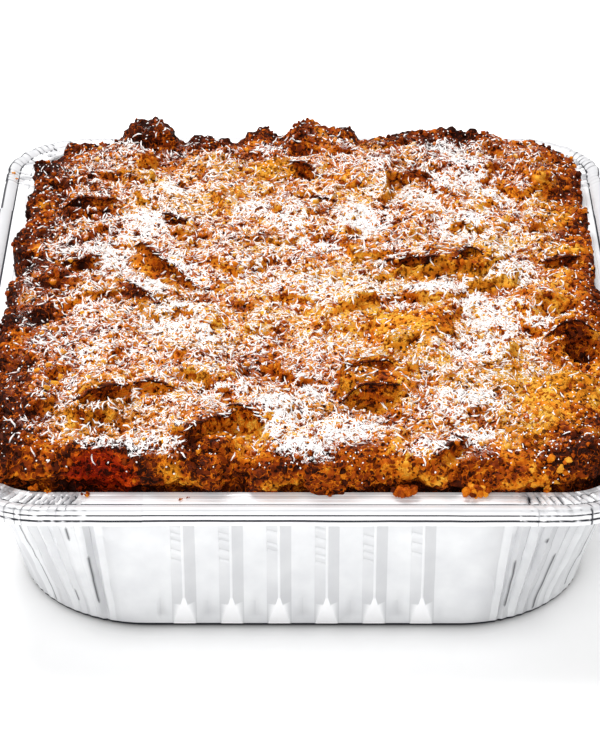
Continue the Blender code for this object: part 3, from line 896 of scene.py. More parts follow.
def bread_cubes(form, rng):
    """Joins cubes of bread to the form, at its top and round its sides."""
    solid = BVHTree.FromObject(form, bpy.context.evaluated_depsgraph_get())
    cubes = list(CUBES)
    for _ in range(MORE_CUBES):
        x, y = rng.uniform(-102, 102), rng.uniform(-130, 130)
        top = solid.ray_cast(Vector((x, y, 200)) * MM, Vector((0, 0, -1)))[0].z / MM
        wide, deep = rng.uniform(12, 19), rng.uniform(10, 15)
        level, turn, tip = top + rng.uniform(-0.5, 1.4), rng.uniform(-90, 90), rng.uniform(-13, 13)
        cubes.append((x, y, level, wide, deep, turn, tip))
    for i in range(EDGE_CUBES):
        angle = math.tau * (i + rng.uniform(-0.3, 0.3)) / EDGE_CUBES
        x, y, facing = outline_at(angle, rng.uniform(3.5, 5.5) * MM)
        turn = math.degrees(facing) + 90 + rng.uniform(-24, 24)
        level, wide, tip = rng.uniform(74, 79), rng.uniform(9, 15), rng.uniform(-14, 14)
        cubes.append((x / MM, y / MM, level, wide, 11, turn, tip))
    made = []
    for x, y, top, wide, deep, turn, tip in cubes:
        turned = Matrix.Rotation(math.radians(turn), 4, "Z") @ Matrix.Rotation(math.radians(tip), 4, "X")
        middle = Vector((x, y, top)) - turned @ Vector((0, 0, CUBE_DEPTH / 2))
        bpy.ops.mesh.primitive_cube_add(size=1, location=middle * MM, rotation=turned.to_euler())
        bpy.context.object.scale = Vector((wide, deep, CUBE_DEPTH)) * MM
        made.append(bpy.context.object)
    pick(form)
    for cube in made:
        cube.select_set(True)
    bpy.ops.object.join()


def swell_and_hollow(points, normals):
    """Chunks that stand out and holes that go in; tells how deep in a hole a point lies, 0 to 1."""
    for x, y, half_width, half_depth, height in SWELLS:
        away = away_from(*points.T[:2], x, y, half_width, half_depth)
        points[:, 2] += height * MM * np.exp(-(away**2)) * smoothstep(64 * MM, 76 * MM, points[:, 2])
    for x, y, reach, lean_x, lean_y in LEANS:
        near = np.exp(-away_from(*points.T[:2], x, y, reach, reach))
        points[:, :2] += near[:, None] * (lean_x * MM, lean_y * MM)
    deep = np.zeros(len(points))
    for x, y, z, radius, depth in HOLLOWS:
        away = np.linalg.norm(points / MM - (x, y, z), axis=1) / radius
        inwards = np.clip(1 - away**2, 0, 1) ** 1.5
        points -= normals * (inwards * depth * MM)[:, None]
        deep = np.maximum(deep, inwards)
    return deep


def crust_relief(place, ring):
    """How far the surface stands out here in millimetres: lumps of bread, and the crumbs and pits on them."""
    p = Vector(place)
    lumps = noise.fractal(p / (13 * MM), 0.9, 2.0, 3) * (1.2 + 0.9 * ring)
    shift = noise.noise_vector(p / (5 * MM)) * 0.4
    knobs = (0.5 - noise.voronoi(p / (7.5 * MM) + shift)[0][0]) * 2.6 * ring
    crumbs = (0.5 - noise.voronoi(p / (2.9 * MM) + shift)[0][0]) * 1.8 + noise.noise(p / (2.2 * MM)) * 0.6
    holes = noise.voronoi(p / (5.4 * MM) + Vector((7, 3, 5)))[0][0]
    hole = -2.2 * max(0.0, 1 - holes / 0.30)
    return lumps + knobs, crumbs + hole


def bread_crust(rng):
    """The CAD's pudding with the forms and crumb of real bread worked into all that shows of it."""
    crust = placed("bread_crust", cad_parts["pudding"].data.copy())
    edit(crust)
    merge_doubles()
    done()
    bread_cubes(crust, rng)
    apply_modifier(crust, "REMESH", mode="VOXEL", voxel_size=FORM_GRAIN)
    points, normals = points_of(crust.data), normals_of(crust.data)
    deep = swell_and_hollow(points, normals)
    calm = smoothstep(2 * MM, 16 * MM, edge_distance(*points.T[:2])) * (points[:, 2] > CHUNKS_ABOVE_Z)
    levels, gaps = np.array([chunk_level(p) for p in points]).T
    broken = smoothstep(-0.15, 0.25, np.array([noise.noise(Vector(p) / (17 * MM)) for p in points]))
    gaps *= calm * broken
    points[:, 2] += (levels * calm - 1.6 * gaps) * MM
    painted_lip_shade, bread = lift_lips(points)
    tuck_front(points)
    put_points(crust.data, points)
    facing = normals_of(crust.data)[:, 2]
    formed = KDTree(len(points))
    for i, place in enumerate(points):
        formed.insert(place, i)
    formed.balance()
    apply_modifier(crust, "REMESH", mode="VOXEL", voxel_size=CRUST_GRAIN)
    edit(crust)
    bpy.ops.mesh.select_all(action="SELECT")
    bpy.ops.mesh.bisect(plane_co=(0, 0, HIDDEN_Z), plane_no=(0, 0, 1), clear_inner=True)
    done()
    apply_modifier(crust, "SMOOTH", factor=0.5, iterations=1)
    points, normals = points_of(crust.data), normals_of(crust.data)
    source = np.array([formed.find(p)[1] for p in points])
    ring = 1 - smoothstep(2 * MM, RING_WIDTH, edge_distance(*points.T[:2]))
    lumps, pits = np.array([crust_relief(p, near) for p, near in zip(points, ring)]).T
    free = smoothstep(HIDDEN_Z, HIDDEN_Z + 3 * MM, points[:, 2])
    points += normals * ((lumps + pits) * (1 - 0.6 * bread[source]) * free * MM)[:, None]
    points = keep_inside(points)
    put_points(crust.data, points)
    paint_baking_and_shade(crust, pits, deep[source], painted_lip_shade[source], bread[source], gaps[source], facing[source])
    close_below(crust)
    cap = free_cap(crust)
    finish = crust_finish()
    for piece in (crust, cap):
        close_cut(piece)
        pick(piece)
        bpy.ops.object.shade_smooth()
        wear(piece, finish)
    return crust, cap, crust_edges((crust, cap), finish)


def free_cap(crust):
    """Cuts the middle of the top free as a piece of its own."""
    edit(crust, "FACE")
    done()
    centres = np.empty(len(crust.data.polygons) * 3)
    crust.data.polygons.foreach_get("center", centres)
    centres = centres.reshape(-1, 3)
    jag = np.array([noise.noise((x / (9 * MM), y / (9 * MM), 4)) for x, y, _ in centres]) * 6 * MM
    inside = (edge_distance(*centres.T[:2]) + jag > CAP_MARGIN) & (centres[:, 2] > CAP_FLOOR_Z)
    crust.data.polygons.foreach_set("select", inside)
    bpy.ops.object.mode_set(mode="EDIT")
    bpy.ops.mesh.separate(type="SELECTED")
    done()
    cap = next(obj for obj in bpy.context.selected_objects if obj != crust)
    cap.name = cap.data.name = "crust_cap"
    return cap


def close_cut(piece):
    """Takes the open edge left by the cut down to a flat floor, and closes it there."""
    edit(piece, "EDGE")
    bpy.ops.mesh.select_non_manifold(extend=False, use_wire=False, use_multi_face=False, use_verts=False)
    bpy.ops.mesh.mark_sharp()
    bpy.ops.mesh.extrude_region_move(TRANSFORM_OT_translate={"value": (0, 0, -1 * MM)})
    bpy.ops.transform.resize(value=(1, 1, 0), center_override=(0, 0, CAP_FLOOR_Z))
    bpy.ops.mesh.edge_face_add()
    face_outwards()


def keep_inside(points):
    """Eases the crust to stay inside the solid's own box."""
    low, high = (np.array(corner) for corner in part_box("pudding"))
    middle, reach = (high + low) / 2, (high - low) / 2
    away = points - middle
    over = np.abs(away) - (reach - EASE)
    eased = reach - EASE + EASE * np.tanh(over / EASE)
    return middle + np.where(over > 0, np.sign(away) * eased, away)


def close_below(crust):
    """Carries the cut edge down into the tin as a plain body, and closes it at the base."""
    edit(crust)
    bpy.ops.mesh.select_non_manifold(extend=False)
    for drop in LOWER_STEPS:
        bpy.ops.mesh.extrude_region_move(TRANSFORM_OT_translate={"value": (0, 0, -drop)})
    bpy.ops.mesh.edge_face_add()
    face_outwards()
    points = points_of(crust.data)
    below = points[:, 2] < WALL_TOP_Z
    points[below] = hold_in_wall(points[below])
    put_points(crust.data, points)


def hold_in_wall(points):
    """Keeps points within the wall's outline at their height, less the gap to it."""
    half_x, half_y, radius = (np.array(size) - WALL_GAP for size in wall_at(points[:, 2]))
    side = np.sign(points[:, :2])
    past = np.abs(points[:, :2]) - np.stack((half_x - radius, half_y - radius), 1)
    past = np.minimum(past, radius[:, None])
    corner = np.hypot(*np.maximum(past, 0).T)
    pull = np.where((past > 0).all(1) & (corner > radius), radius / np.maximum(corner, 1e-9), 1)
    past = np.where(past > 0, past * pull[:, None], past)
    held = points.copy()
    held[:, :2] = side * (past + np.stack((half_x - radius, half_y - radius), 1))
    return held


# Where the sugar fell thick: middle x and y, reach in x and y in millimetres, and how thick.
SUGAR_FALLS = (
    (-67, 50, 13, 21, 0.70),
    (-53, 84, 9, 12, 0.60),
    (-64, 100, 8, 10, 0.45),
    (-15, 63, 14, 11, 0.60),
    (26, 52, 11, 10, 0.95),
    (8, 28, 20, 8, 0.65),
    (-6, 45, 12, 9, 0.55),
    (50, 79, 11, 11, 0.80),
    (80, 78, 8, 9, 0.70),
    (94, -40, 8, 9, 0.60),
    (64, 131, 11, 6, 0.72),
    (-16, 131, 7, 5, 0.50),
    (-80, 130, 9, 5, 0.70),
    (34, 100, 7, 14, 0.50),
    (68, 96, 11, 17, 0.68),
    (66, 44, 12, 18, 0.62),
    (84, 8, 9, 20, 0.70),
    (58, -15, 15, 8, 0.80),
    (74, -34, 14, 18, 0.68),
    (70, -66, 13, 18, 0.66),
    (61, -108, 15, 14, 0.62),
    (58, -132, 11, 9, 0.45),
    (15, -126, 13, 8, 0.80),
    (-8, -116, 10, 16, 0.80),
    (-30, -105, 16, 10, 0.54),
    (2, -95, 8, 8, 0.68),
    (64, -127, 8, 6, 0.70),
    (-41, -58, 14, 11, 0.58),
    (-52, -41, 12, 17, 0.66),
    (-78, -78, 12, 20, 0.45),
    (-80, 20, 12, 18, 0.70),
    (-82, 58, 8, 8, 0.50),
    (-112, -8, 6, 26, 0.24),
    (-55, -4, 16, 18, 0.65),
    (-97, 26, 9, 14, 0.55),
    (-18, 8, 10, 14, 0.52),
    (2, -12, 34, 9, 0.50),
    (-6, -55, 10, 9, 0.45),
    (-52, -134, 9, 12, 0.45),
    (-96, -60, 12, 16, 0.35),
    (-84, -30, 9, 14, 0.55),
    (4, -26, 14, 7, 0.50),
    (34, -24, 10, 6, 0.60),
    (0, -142, 9, 8, 0.80),
    (-68, -139, 14, 5, 0.60),
    (46, -140, 8, 5, 0.60),
)
SUGAR_EVERYWHERE = 0.31  # how thick it lies between them
# Where hardly any lies: middle x and y, reach in millimetres, and how much is missing.
SUGAR_MISSING = (
    (42, -48, 18, 0.95), (30, -98, 13, 0.75), (67, 0, 7, 0.85), (46, -1, 8, 0.5), (-30, -133, 6, 0.8),
    (-79, -107, 9, 0.6), (-14, -77, 8, 0.45), (-22, 98, 12, 0.4), (16, 92, 8, 0.6),
    (-32, 76, 9, 0.5), (44, 60, 6, 0.4), (2, 8, 8, 0.5), (-16, 111, 9, 0.8),
    (-58, 111, 13, 0.5), (-77, -92, 9, 0.2), (102, -106, 24, 0.9), (106, -58, 11, 0.9), (100, -20, 9, 0.5),
)
SUGAR_MARGIN = 34 * MM  # it thins out over this width towards the edge
RING_WIDTH = 24 * MM  # the darker ring round the crust


def sugar_at(x, y):
    """How thickly sugar lies at a place, 0 to 1."""
    thick = np.zeros(np.shape(x))
    for fall_x, fall_y, reach_x, reach_y, most in SUGAR_FALLS:
        away = away_from(x, y, fall_x, fall_y, reach_x, reach_y)
        thick = np.maximum(thick, most * np.exp(-0.5 * away**1.4))
    inside = edge_distance(x, y)
    sparse = SUGAR_EVERYWHERE * smoothstep(-4 * MM, SUGAR_MARGIN, inside)
    thick = np.maximum(thick * smoothstep(-1 * MM, 8 * MM, inside), sparse)
    for bare_x, bare_y, reach, missing in SUGAR_MISSING:
        away = away_from(x, y, bare_x, bare_y, reach, reach)
        thick = thick * (1 - missing * np.exp(-(away**2)))
    return thick


# Places painted lighter and darker, partly as the crust baked and partly as painted light and shade: middle x
# and y, reach in millimetres, and how much.
GOLDEN_AND_LIT_PLACES = (
    (0, -35, 34, 0.16), (42, -48, 18, 0.10), (62, -112, 30, 0.06), (100, -104, 22, 0.10),
    (-82, -88, 18, 0.12), (12, 60, 30, 0.06), (-97, -122, 11, 0.12), (100, 84, 16, 0.10),
    (-50, 112, 30, 0.06), (116, -20, 34, 0.14), (116, 50, 30, 0.10), (-10, -152, 22, 0.14),
    (50, -152, 18, 0.08), (-34, -128, 9, 0.16),
)
DARK_AND_SHADED_PLACES = (
    (-66, 139, 16, 0.42), (-108, 118, 24, 0.20), (4, 141, 20, 0.20), (-34, -150, 12, 0.16),
    (-116, 60, 26, 0.20), (-118, 0, 26, 0.20), (-116, -66, 28, 0.20), (-114, -116, 20, 0.16),
    (70, 138, 26, 0.18), (14, -149, 12, 0.12), (-30, 146, 20, 0.14), (110, -58, 8, 0.28),
    (-12, -77, 12, 0.20), (-102, 90, 20, 0.10), (60, 4, 16, 0.12), (26, -100, 16, 0.10),
    (94, 92, 14, 0.14), (-104, -106, 16, 0.10),
    (98, -150, 18, 0.08), (62, -152, 12, 0.10), (114, -112, 11, 0.25), (-100, -122, 14, 0.12),
)
RED_HOLLOW, RED_REACH = (-75, -151, 69.5), 14.5  # where the crust baked red


def golden_and_lit_at(x, y):
    """How much lighter the crust is here, less than nothing where darker: partly baking, partly painted light
    and shade.
    """
    lighter = np.zeros(np.shape(x))
    for sign, places in ((1, GOLDEN_AND_LIT_PLACES), (-1, DARK_AND_SHADED_PLACES)):
        for place_x, place_y, reach, much in places:
            away = away_from(x, y, place_x, place_y, reach, reach)
            lighter += sign * much * np.exp(-0.5 * away)
    return lighter


def paint_baking_and_shade(crust, pits, deep, painted_lip_shade, bread, gaps, facing):
    """Gives each point its baked tone with painted light and shade, how red, how much sugar lies on it, and how
    bare it is.
    """
    points, normals = points_of(crust.data), normals_of(crust.data)
    x, y, z = points.T
    up = normals[:, 2]
    inside = edge_distance(x, y)
    ring = 1 - smoothstep(1 * MM, RING_WIDTH, inside)
    front = smoothstep(-135 * MM, -146 * MM, y) * (1 - smoothstep(0.3, 0.8, facing))
    rim_dark = (1 - smoothstep(0, 7 * MM, inside)) * smoothstep(-140 * MM, -120 * MM, y)
    large, small = ([noise.noise(Vector(p) / size) for p in points] for size in (14 * MM, 6 * MM))
    patches = np.array(large) + 0.6 * np.array(small)
    # A ring baked darker at the edge; painted shade in the pits, painted highlight on the crumbs' tops.
    baked = 0.17 + 0.34 * ring + 0.36 * smoothstep(0.0, 1.6, -pits) - 0.12 * smoothstep(0.1, 0.9, pits)
    # Painted shade along the crust's foot, under its overhang at the rim.
    baked += 0.4 * (1 - smoothstep(65.8 * MM, 68.6 * MM, z))
    # Painted shade under the lips, in the hollows and in the gaps between chunks; painted light on the front
    # faces.
    baked += 0.36 * painted_lip_shade + 0.24 * deep + 0.04 * bread + 0.32 * gaps - 0.06 * front
    # Random patches of baking, the golden and darker places with their painted light and shade, and a darker
    # outer edge.
    baked += patches * (0.22 + 0.34 * ring) - golden_and_lit_at(x, y) + 0.22 * rim_dark
    sheltered = 1 - smoothstep(0.45, 0.85, facing)
    dusted = sugar_at(x, y) * smoothstep(0.3, 0.75, up) * (1 - 0.9 * sheltered) * (1 - 0.9 * bread)
    dusted *= (1 - deep) * (1 - 0.8 * smoothstep(0.2, 1.4, -pits)) * (1 - 0.7 * gaps)
    from_red = np.linalg.norm(points / MM - RED_HOLLOW, axis=1)
    red = np.exp(-((from_red / RED_REACH) ** 8))
    baked += 0.35 * np.exp(-(((from_red - RED_REACH - 3) / 2.4) ** 2)) - 0.16 * red
    shelter = sheltered * smoothstep(4 * MM, 14 * MM, inside)
    give(crust, "baked", baked)
    give(crust, "dusted", dusted)
    give(crust, "reddened", red)
    give(crust, "bare", 0.92 * np.max((bread, painted_lip_shade * 0.6, deep, shelter, gaps * 0.7), axis=0))


# Across the thin edge of a lifted crust, from its root over its tip and back underneath: how far behind the
# tip's own line, how high over the crust there, and how dark: baked darker at the tip, painted shade
# underneath.
EDGE_SECTION = (
    (3.6, -0.7, 0.30), (1.6, 0.1, 0.45), (-0.7, 0.3, 0.85),
    (-0.6, -0.45, 1.0), (1.4, -1.3, 1.0), (3.4, -1.9, 0.9),
)
EDGE_STEP = 0.8  # how far its sections lie apart
EDGE_RESTS = (1.2, 2.2, 3.4)  # how far behind the line the crust's height is taken


def crust_solids(crusts):
    graph = bpy.context.evaluated_depsgraph_get()
    return [BVHTree.FromObject(crust, graph) for crust in crusts]


def first_hit(solids, start, way):
    """The first place of the crust on a line from the start, in millimetres like it."""
    hits = [solid.ray_cast(Vector(start) * MM, Vector(way)) for solid in solids]
    return min((hit for hit in hits if hit[0]), key=lambda hit: hit[3])[0] / MM


def crust_top(solids, place):
    """The height of the crust at a place, in millimetres like it."""
    start, down = Vector((place.x, place.y, 200)) * MM, Vector((0, 0, -1))
    hits = [solid.ray_cast(start, down)[0] for solid in solids]
    return max(hit.z for hit in hits if hit) / MM


def crust_edges(crusts, finish):
    """The thin edges of the crusts that lift, baked dark with painted shade beneath, each hanging a little over
    its recess.
    """
    solids = crust_solids(crusts)
    points, faces, baked = [], [], []
    for x, y, length, turn, _, lean in LIPS:
        turn = math.radians(turn)
        ahead = Vector((math.cos(turn), math.sin(turn), 0))
        behind = Vector((-math.sin(turn), math.cos(turn), 0))
        count, start = int(length / EDGE_STEP), len(points)
        spots, tops = [], []
        for i in range(count + 1):
            s = 0.96 * (2 * i / count - 1)
            ends = (1 - s * s) ** 0.6
            line = -noise.noise((s * length / 5, x, y)) * LIP_JAG - s * s * LIP_BOW - 0.5 * lean * ends
            spot = Vector((x, y, 0)) + ahead * (s * length / 2)
            spots.append((spot, line, ends, s))
            tops.append(sum(crust_top(solids, spot + behind * (line + back)) for back in EDGE_RESTS) / 3)
        tops = np.convolve(np.pad(tops, 4, "edge"), np.ones(9) / 9, "valid")
        for top, (spot, line, ends, s) in zip(tops, spots):
            ragged = noise.noise((s * length / 2.2, x, y + 9)) * 0.5
            for back, over, dark in EDGE_SECTION:
                place = spot + behind * (line + (back if back > 0 else back * ends + ragged))
                points.append((place.x, place.y, top + over * (0.5 + 0.5 * ends)))
                # Baked darker towards the tip; the underside's darkness is painted shade.
                baked.append(dark + 0.25 * noise.noise(place / 4))
        wide = len(EDGE_SECTION)
        for i in range(count):
            for j in range(wide):
                a, b = start + i * wide + j, start + i * wide + (j + 1) % wide
                faces.append((a, b, b + wide, a + wide))
        faces += [tuple(range(end, end + wide)) for end in (start, start + count * wide)]
    edges = built("crust_edges", keep_inside(np.array(points) * MM), faces)
    edit(edges)
    face_outwards()
    bpy.ops.object.shade_smooth_by_angle(angle=math.radians(50))
    x, y, _ = points_of(edges.data).T
    up = normals_of(edges.data)[:, 2]
    give(edges, "baked", np.array(baked))
    give(edges, "dusted", sugar_at(x, y) * smoothstep(0.3, 0.9, up) * (np.array(baked) < 0.6))
    give(edges, "reddened", np.zeros(len(x)))
    wear(edges, finish)
    return edges


# ---- what lies scattered on it -------------------------------------------------------------------


GOLDEN_CRUMBS, DARK_CRUMBS, SUGAR_THREADS, SUGAR_DOTS = 2300, 1000, 9900, 8500
CRUMB_SIZES = (0.6, 1.5)  # from the smallest radius to the largest, in millimetres


def nugget(bands, ring, rng, rough):
    """A small closed lump of unit radius, with a few dozen faces or fewer."""
    points = [(0, 0, -1)]
    for band in range(1, bands):
        level = -math.cos(math.pi * band / bands)
        round_it = math.sqrt(1 - level * level)
        for i in range(ring):
            angle = math.tau * (i + 0.5 * (band % 2)) / ring
            points.append((round_it * math.cos(angle), round_it * math.sin(angle), level))
    points.append((0, 0, 1))
    points = np.array(points) * (1 + rng.uniform(-rough, rough, (len(points), 1)))
    faces = [(0, 1 + (i + 1) % ring, 1 + i) for i in range(ring)]
    for band in range(bands - 2):
        low, high = 1 + band * ring, 1 + (band + 1) * ring
        for i in range(ring):
            j = (i + 1) % ring
            faces.append((low + i, low + j, high + j))
            faces.append((low + i, high + j, high + i))
    last = len(points) - 1
    start = 1 + (bands - 2) * ring
    faces += [(start + i, start + (i + 1) % ring, last) for i in range(ring)]
    return points, np.array(faces)


def spots_on(surfaces, count, weight, rng):
    """Random places on what shows of these surfaces, more of them where weight(x, y, z, up) is high."""
    places, normals, shares = [], [], []
    for obj in surfaces:
        mesh = obj.data
        mesh.calc_loop_triangles()
        corners = np.empty(len(mesh.loop_triangles) * 3, int)
        mesh.loop_triangles.foreach_get("vertices", corners)
        three = points_of(mesh)[corners.reshape(-1, 3)]
        across = np.cross(three[:, 1] - three[:, 0], three[:, 2] - three[:, 0])
        area = np.linalg.norm(across, axis=1) / 2
        normal = across / np.maximum(area, 1e-14)[:, None] / 2
        middle = three.mean(1)
        bare = values_of(mesh, "bare")[corners.reshape(-1, 3)].mean(1) if "bare" in mesh.attributes else 0
        places.append(three)
        normals.append(normal)
        shares.append(area * weight(middle[:, 0], middle[:, 1], middle[:, 2], normal[:, 2]) * (1 - bare))
    places, normals, shares = map(np.concatenate, (places, normals, shares))
    order = np.lexsort(places.mean(1).T)  # the faces' own order differs from run to run
    places, normals, shares = places[order], normals[order], shares[order]
    chosen = rng.choice(len(shares), count, p=shares / shares.sum())
    u, v = rng.random((2, count))
    flip = u + v > 1
    u[flip], v[flip] = 1 - u[flip], 1 - v[flip]
    three = places[chosen]
    spots = three[:, 0] + u[:, None] * (three[:, 1] - three[:, 0]) + v[:, None] * (three[:, 2] - three[:, 0])
    return spots, normals[chosen]


def scattered(name, shapes, spots, normals, sizes, proportions, sink, rng):
    """One piece of many small lumps lying on a surface, and for each of its points which lump it is of."""
    all_points, all_faces, owner, start = [], [], [], 0
    which = rng.integers(len(shapes), size=len(spots))
    long, wide, high = proportions
    for i, (spot, normal) in enumerate(zip(spots, normals)):
        points, faces = shapes[which[i]]
        turn = rng.uniform(0, math.tau)
        c, s = math.cos(turn), math.sin(turn)
        stretch = rng.uniform(0.8, 1.25)
        local = points * (long * stretch, wide / stretch, high) @ np.array(((c, s, 0), (-s, c, 0), (0, 0, 1)))
        lean = np.array(Vector(normal).to_track_quat("Z", "Y").to_matrix())
        all_points.append((local @ lean.T) * sizes[i] + spot + normal * sizes[i] * high * (1 - sink))
        all_faces.append(faces + start)
        owner.append(np.full(len(points), i))
        start += len(points)
    all_points = np.clip(np.concatenate(all_points), cad_low[:], cad_high[:])
    obj = built(name, all_points, np.concatenate(all_faces))
    pick(obj)
    bpy.ops.object.shade_smooth()
    return obj, np.concatenate(owner)


def crumbs_of(name, crusts, count, tone, spread, rng):
    """Crumbs of one kind all over the crust, dusted with sugar on top."""

    def weight(x, y, z, up):
        return np.where(z > SHOWN_Z, smoothstep(-0.3, 0.4, up) * 0.8 + 0.2, 0)

    shapes = [nugget(4, 7, rng, 0.30) for _ in range(14)]
    spots, normals = spots_on(crusts, count, weight, rng)
    smallest, largest = CRUMB_SIZES
    radii = (smallest + (largest - smallest) * rng.random(count) ** 2.0) * MM
    crumbs, owner = scattered(name, shapes, spots, normals, radii, (1, 1, 0.8), 0.6, rng)
    inside = edge_distance(spots[:, 0], spots[:, 1])
    tones = tone + 0.32 * (1 - smoothstep(2 * MM, RING_WIDTH, inside)) + rng.normal(0, spread, count)
    tones -= 0.5 * golden_and_lit_at(*spots.T[:2])
    up = normals_of(crumbs.data)[:, 2]
    give(crumbs, "baked", tones[owner])
    give(crumbs, "dusted", sugar_at(*points_of(crumbs.data).T[:2]) * smoothstep(0.1, 0.7, up))
    wear(crumbs, crumb_finish(name))
    return crumbs


def curled(points, faces, curl, sway):
    """Bends a lump along its length, and the other way at its end."""
    bent = points.copy()
    bent[:, 1] += curl * points[:, 0] ** 2 + sway * points[:, 0] ** 3
    return bent, faces


def sugar_of(name, surfaces, count, radius, proportions, ring, curl, where, rng):
    """Sugar of one kind where it fell."""

    def weight(x, y, z, up):
        return np.where(z > SHOWN_Z + 1 * MM, smoothstep(0.1, 0.7, up) * where(x, y), 0)

    shapes = [curled(*nugget(2, ring, rng, 0.16), *rng.uniform(-0.5, 0.5, 2) * curl) for _ in range(16)]
    spots, normals = spots_on(surfaces, count, weight, rng)
    radii = radius * (0.75 + 0.5 * rng.random(count))
    sugar, _ = scattered(name, shapes, spots, normals, radii, proportions, 0.35, rng)
    wear(sugar, sugar_finish(name))
    return sugar


def toppings(crusts, rng):
    """All that lies loose on the crust: crumbs, then threads and dots of sugar, then the larger bits."""
    crumbs = [
        crumbs_of("golden_crumbs", crusts, GOLDEN_CRUMBS, 0.16, 0.12, rng),
        crumbs_of("dark_crumbs", crusts, DARK_CRUMBS, 0.42, 0.14, rng),
    ]
    surfaces = [*crusts, *crumbs]

    def thick(x, y):
        return sugar_at(x, y) ** 1.3 * smoothstep(3 * MM, 9 * MM, edge_distance(x, y))

    def anywhere(x, y):
        return 0.25 + 0.6 * sugar_at(x, y)

    size, proportions = 0.60 * MM, (2.9, 0.56, 0.45)
    threads = sugar_of("sugar_threads", surfaces, SUGAR_THREADS, size, proportions, 8, 5.5, thick, rng)
    size, proportions = 0.34 * MM, (1, 1, 0.8)
    dots = sugar_of("sugar_dots", surfaces, SUGAR_DOTS, size, proportions, 6, 0, anywhere, rng)
    return [*crumbs, threads, dots, loose_bits(crusts, rng)]


# Crumbs that fell on the front of the rim: x and y, size, in millimetres, and how dark.
RIM_CRUMBS = (
    (64.5, -150.5, 6.6, 0.30),
    (38, -151, 6.6, 0.52),
    (34.5, -150.5, 3.6, 0.50),
    (-79.5, -151, 2.4, 0.36),
    (-99.6, -147, 3.2, 0.34),
    (-94, -148.5, 2.0, 0.34),
    (9, -151, 2.6, 0.50),
    (-45.0, -153.5, 1.5, 0.50),
    (-42.6, -152.8, 1.2, 0.55),
    (90, -147.5, 3.0, 0.18),
    (-126, 118, 1.4, 0.30),
    (-128, 124, 1.8, 0.25),
)
RIM_Z = 65.3 * MM
# Tan nuggets: on the front of the crust, by x and height, and on its top, by x and y; then their size.
FRONT_NUGGETS = (
    (89, 72, 3.4), (91.5, 77, 4.0), (94.6, 74, 4.2), (93.7, 69, 3.6), (97, 71.7, 3.2),
    (90, 68, 3.0), (86.6, 70, 2.6), (98, 76.4, 3.4), (84, 75, 2.8),
)
TOP_NUGGETS = (
    (-71, -138.5, 3.4), (-39.5, -128, 3.0), (-23.4, -132.8, 4.2), (-20, -134, 3.2), (-13, -132.8, 3.4),
    (27, -131, 2.6), (-101.6, -87.9, 3.2), (-98.9, -93.4, 4.0), (-97.0, -87.9, 3.4), (-94.6, -94.2, 3.6),
    (-97.4, -98.1, 3.0), (-93.0, -89.5, 3.2),
)


def loose_bits(crusts, rng):
    """The few larger crumbs: on the rim, each a cluster of knobs, and the tan nuggets on the crust."""
    solids = crust_solids(crusts)
    spots, radii, tones = [], [], []
    for x, y, size, tone in RIM_CRUMBS:
        knobs = int(4 * size)
        around = rng.normal(0, 0.24 * size, (knobs, 3)) * (1.2, 0.8, 0.7)
        spots += [(x + dx, y + dy, RIM_Z / MM + 0.22 * size + abs(dz)) for dx, dy, dz in around]
        radii += list(rng.uniform(0.12, 0.24, knobs) * size)
        tones += list(tone + rng.normal(0, 0.16, knobs))
    nuggets = [(first_hit(solids, (x, -300, z), (0, 1, 0)), size) for x, z, size in FRONT_NUGGETS]
    nuggets += [(first_hit(solids, (x, y, 300), (0, 0, -1)), size) for x, y, size in TOP_NUGGETS]
    for spot, size in nuggets:
        spots.append(tuple(spot))
        radii.append(size * 0.38)
        tones.append(rng.uniform(0.02, 0.24))
    shapes = []
    for _ in range(10):
        points, faces = nugget(6, 10, rng, 0.05)
        squared = np.sign(points) * np.abs(points) ** 0.55
        shapes.append((squared * (1 + rng.uniform(-0.16, 0.16, (len(points), 1))), faces))
    ways = rng.normal(0, 1, (len(spots), 3))
    ways /= np.linalg.norm(ways, axis=1)[:, None]
    spots, radii = np.array(spots) * MM, np.array(radii) * MM
    bits, owner = scattered("loose_bits", shapes, spots, ways, radii, (1.1, 0.85, 0.8), 1.0, rng)
    bpy.ops.object.shade_smooth_by_angle(angle=math.radians(32))
    give(bits, "baked", np.array(tones)[owner])
    give(bits, "dusted", np.zeros(len(owner)))
    wear(bits, crumb_finish("loose_bits"))
    return bits


# ---- the studio ----------------------------------------------------------------------------------

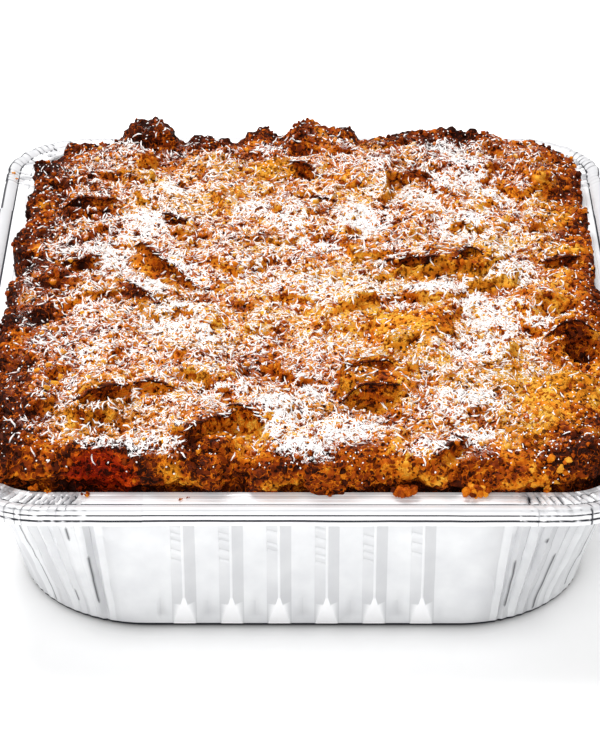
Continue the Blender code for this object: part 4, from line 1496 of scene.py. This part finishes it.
CAMERA_PITCH = math.radians(29.084)
CAMERA_YAW = math.radians(0.062)
CAMERA_PLACE = (0, -1167.2 * MM, 681.7 * MM)
CAMERA_LENS = 154.8
LIGHT_ALL_ROUND = 0.52
# Each lamp's place, size and power.
LIGHT_ABOVE, LIGHT_IN_FRONT = ((-0.4, 0.55, 1.6), 0.8, 27), ((-0.4, -1.6, 0.8), 1.0, 11)
TIN_MIDDLE = (0, 0, 0.05)


def camera():
    """The photograph's view: from the front, looking down on the tin from just over a metre away."""
    bpy.ops.object.camera_add(location=CAMERA_PLACE, rotation=(math.pi / 2 - CAMERA_PITCH, 0, CAMERA_YAW))
    made = bpy.context.object
    made.data.lens = CAMERA_LENS
    made.data.clip_start, made.data.clip_end = 0.01, 30
    bpy.context.scene.camera = made


def soft_light(place, size, power):
    """A square white lamp turned to the tin."""
    bpy.ops.object.light_add(type="AREA", location=place)
    lamp = bpy.context.object
    lamp.data.shape = "SQUARE"
    lamp.data.size = size
    lamp.data.energy = power
    lamp.rotation_euler = (Vector(TIN_MIDDLE) - Vector(place)).to_track_quat("-Z", "Y").to_euler()


def studio():
    """A white floor and soft white light all round."""
    bpy.ops.mesh.primitive_plane_add(size=8)
    floor = bpy.context.object
    floor.name = "floor"
    wear(floor, floor_finish())
    world = bpy.data.worlds.new("studio")
    world.use_nodes = True
    world.node_tree.nodes["Background"].inputs["Color"].default_value = (1, 1, 1, 1)
    world.node_tree.nodes["Background"].inputs["Strength"].default_value = LIGHT_ALL_ROUND
    bpy.context.scene.world = world
    soft_light(*LIGHT_ABOVE)
    soft_light(*LIGHT_IN_FRONT)
    bpy.context.scene.view_settings.view_transform = "Standard"


def main():
    rng = np.random.default_rng(SEED)
    noise.seed_set(SEED)  # or else noise_vector differs from run to run
    camera()
    studio()
    tin = foil_tin()
    crusts = bread_crust(rng)
    loose = toppings(crusts, rng)
    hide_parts("foil_tin")
    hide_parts("pudding")
    for piece in (*tin, *crusts, *loose):
        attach(piece, "root")


main()
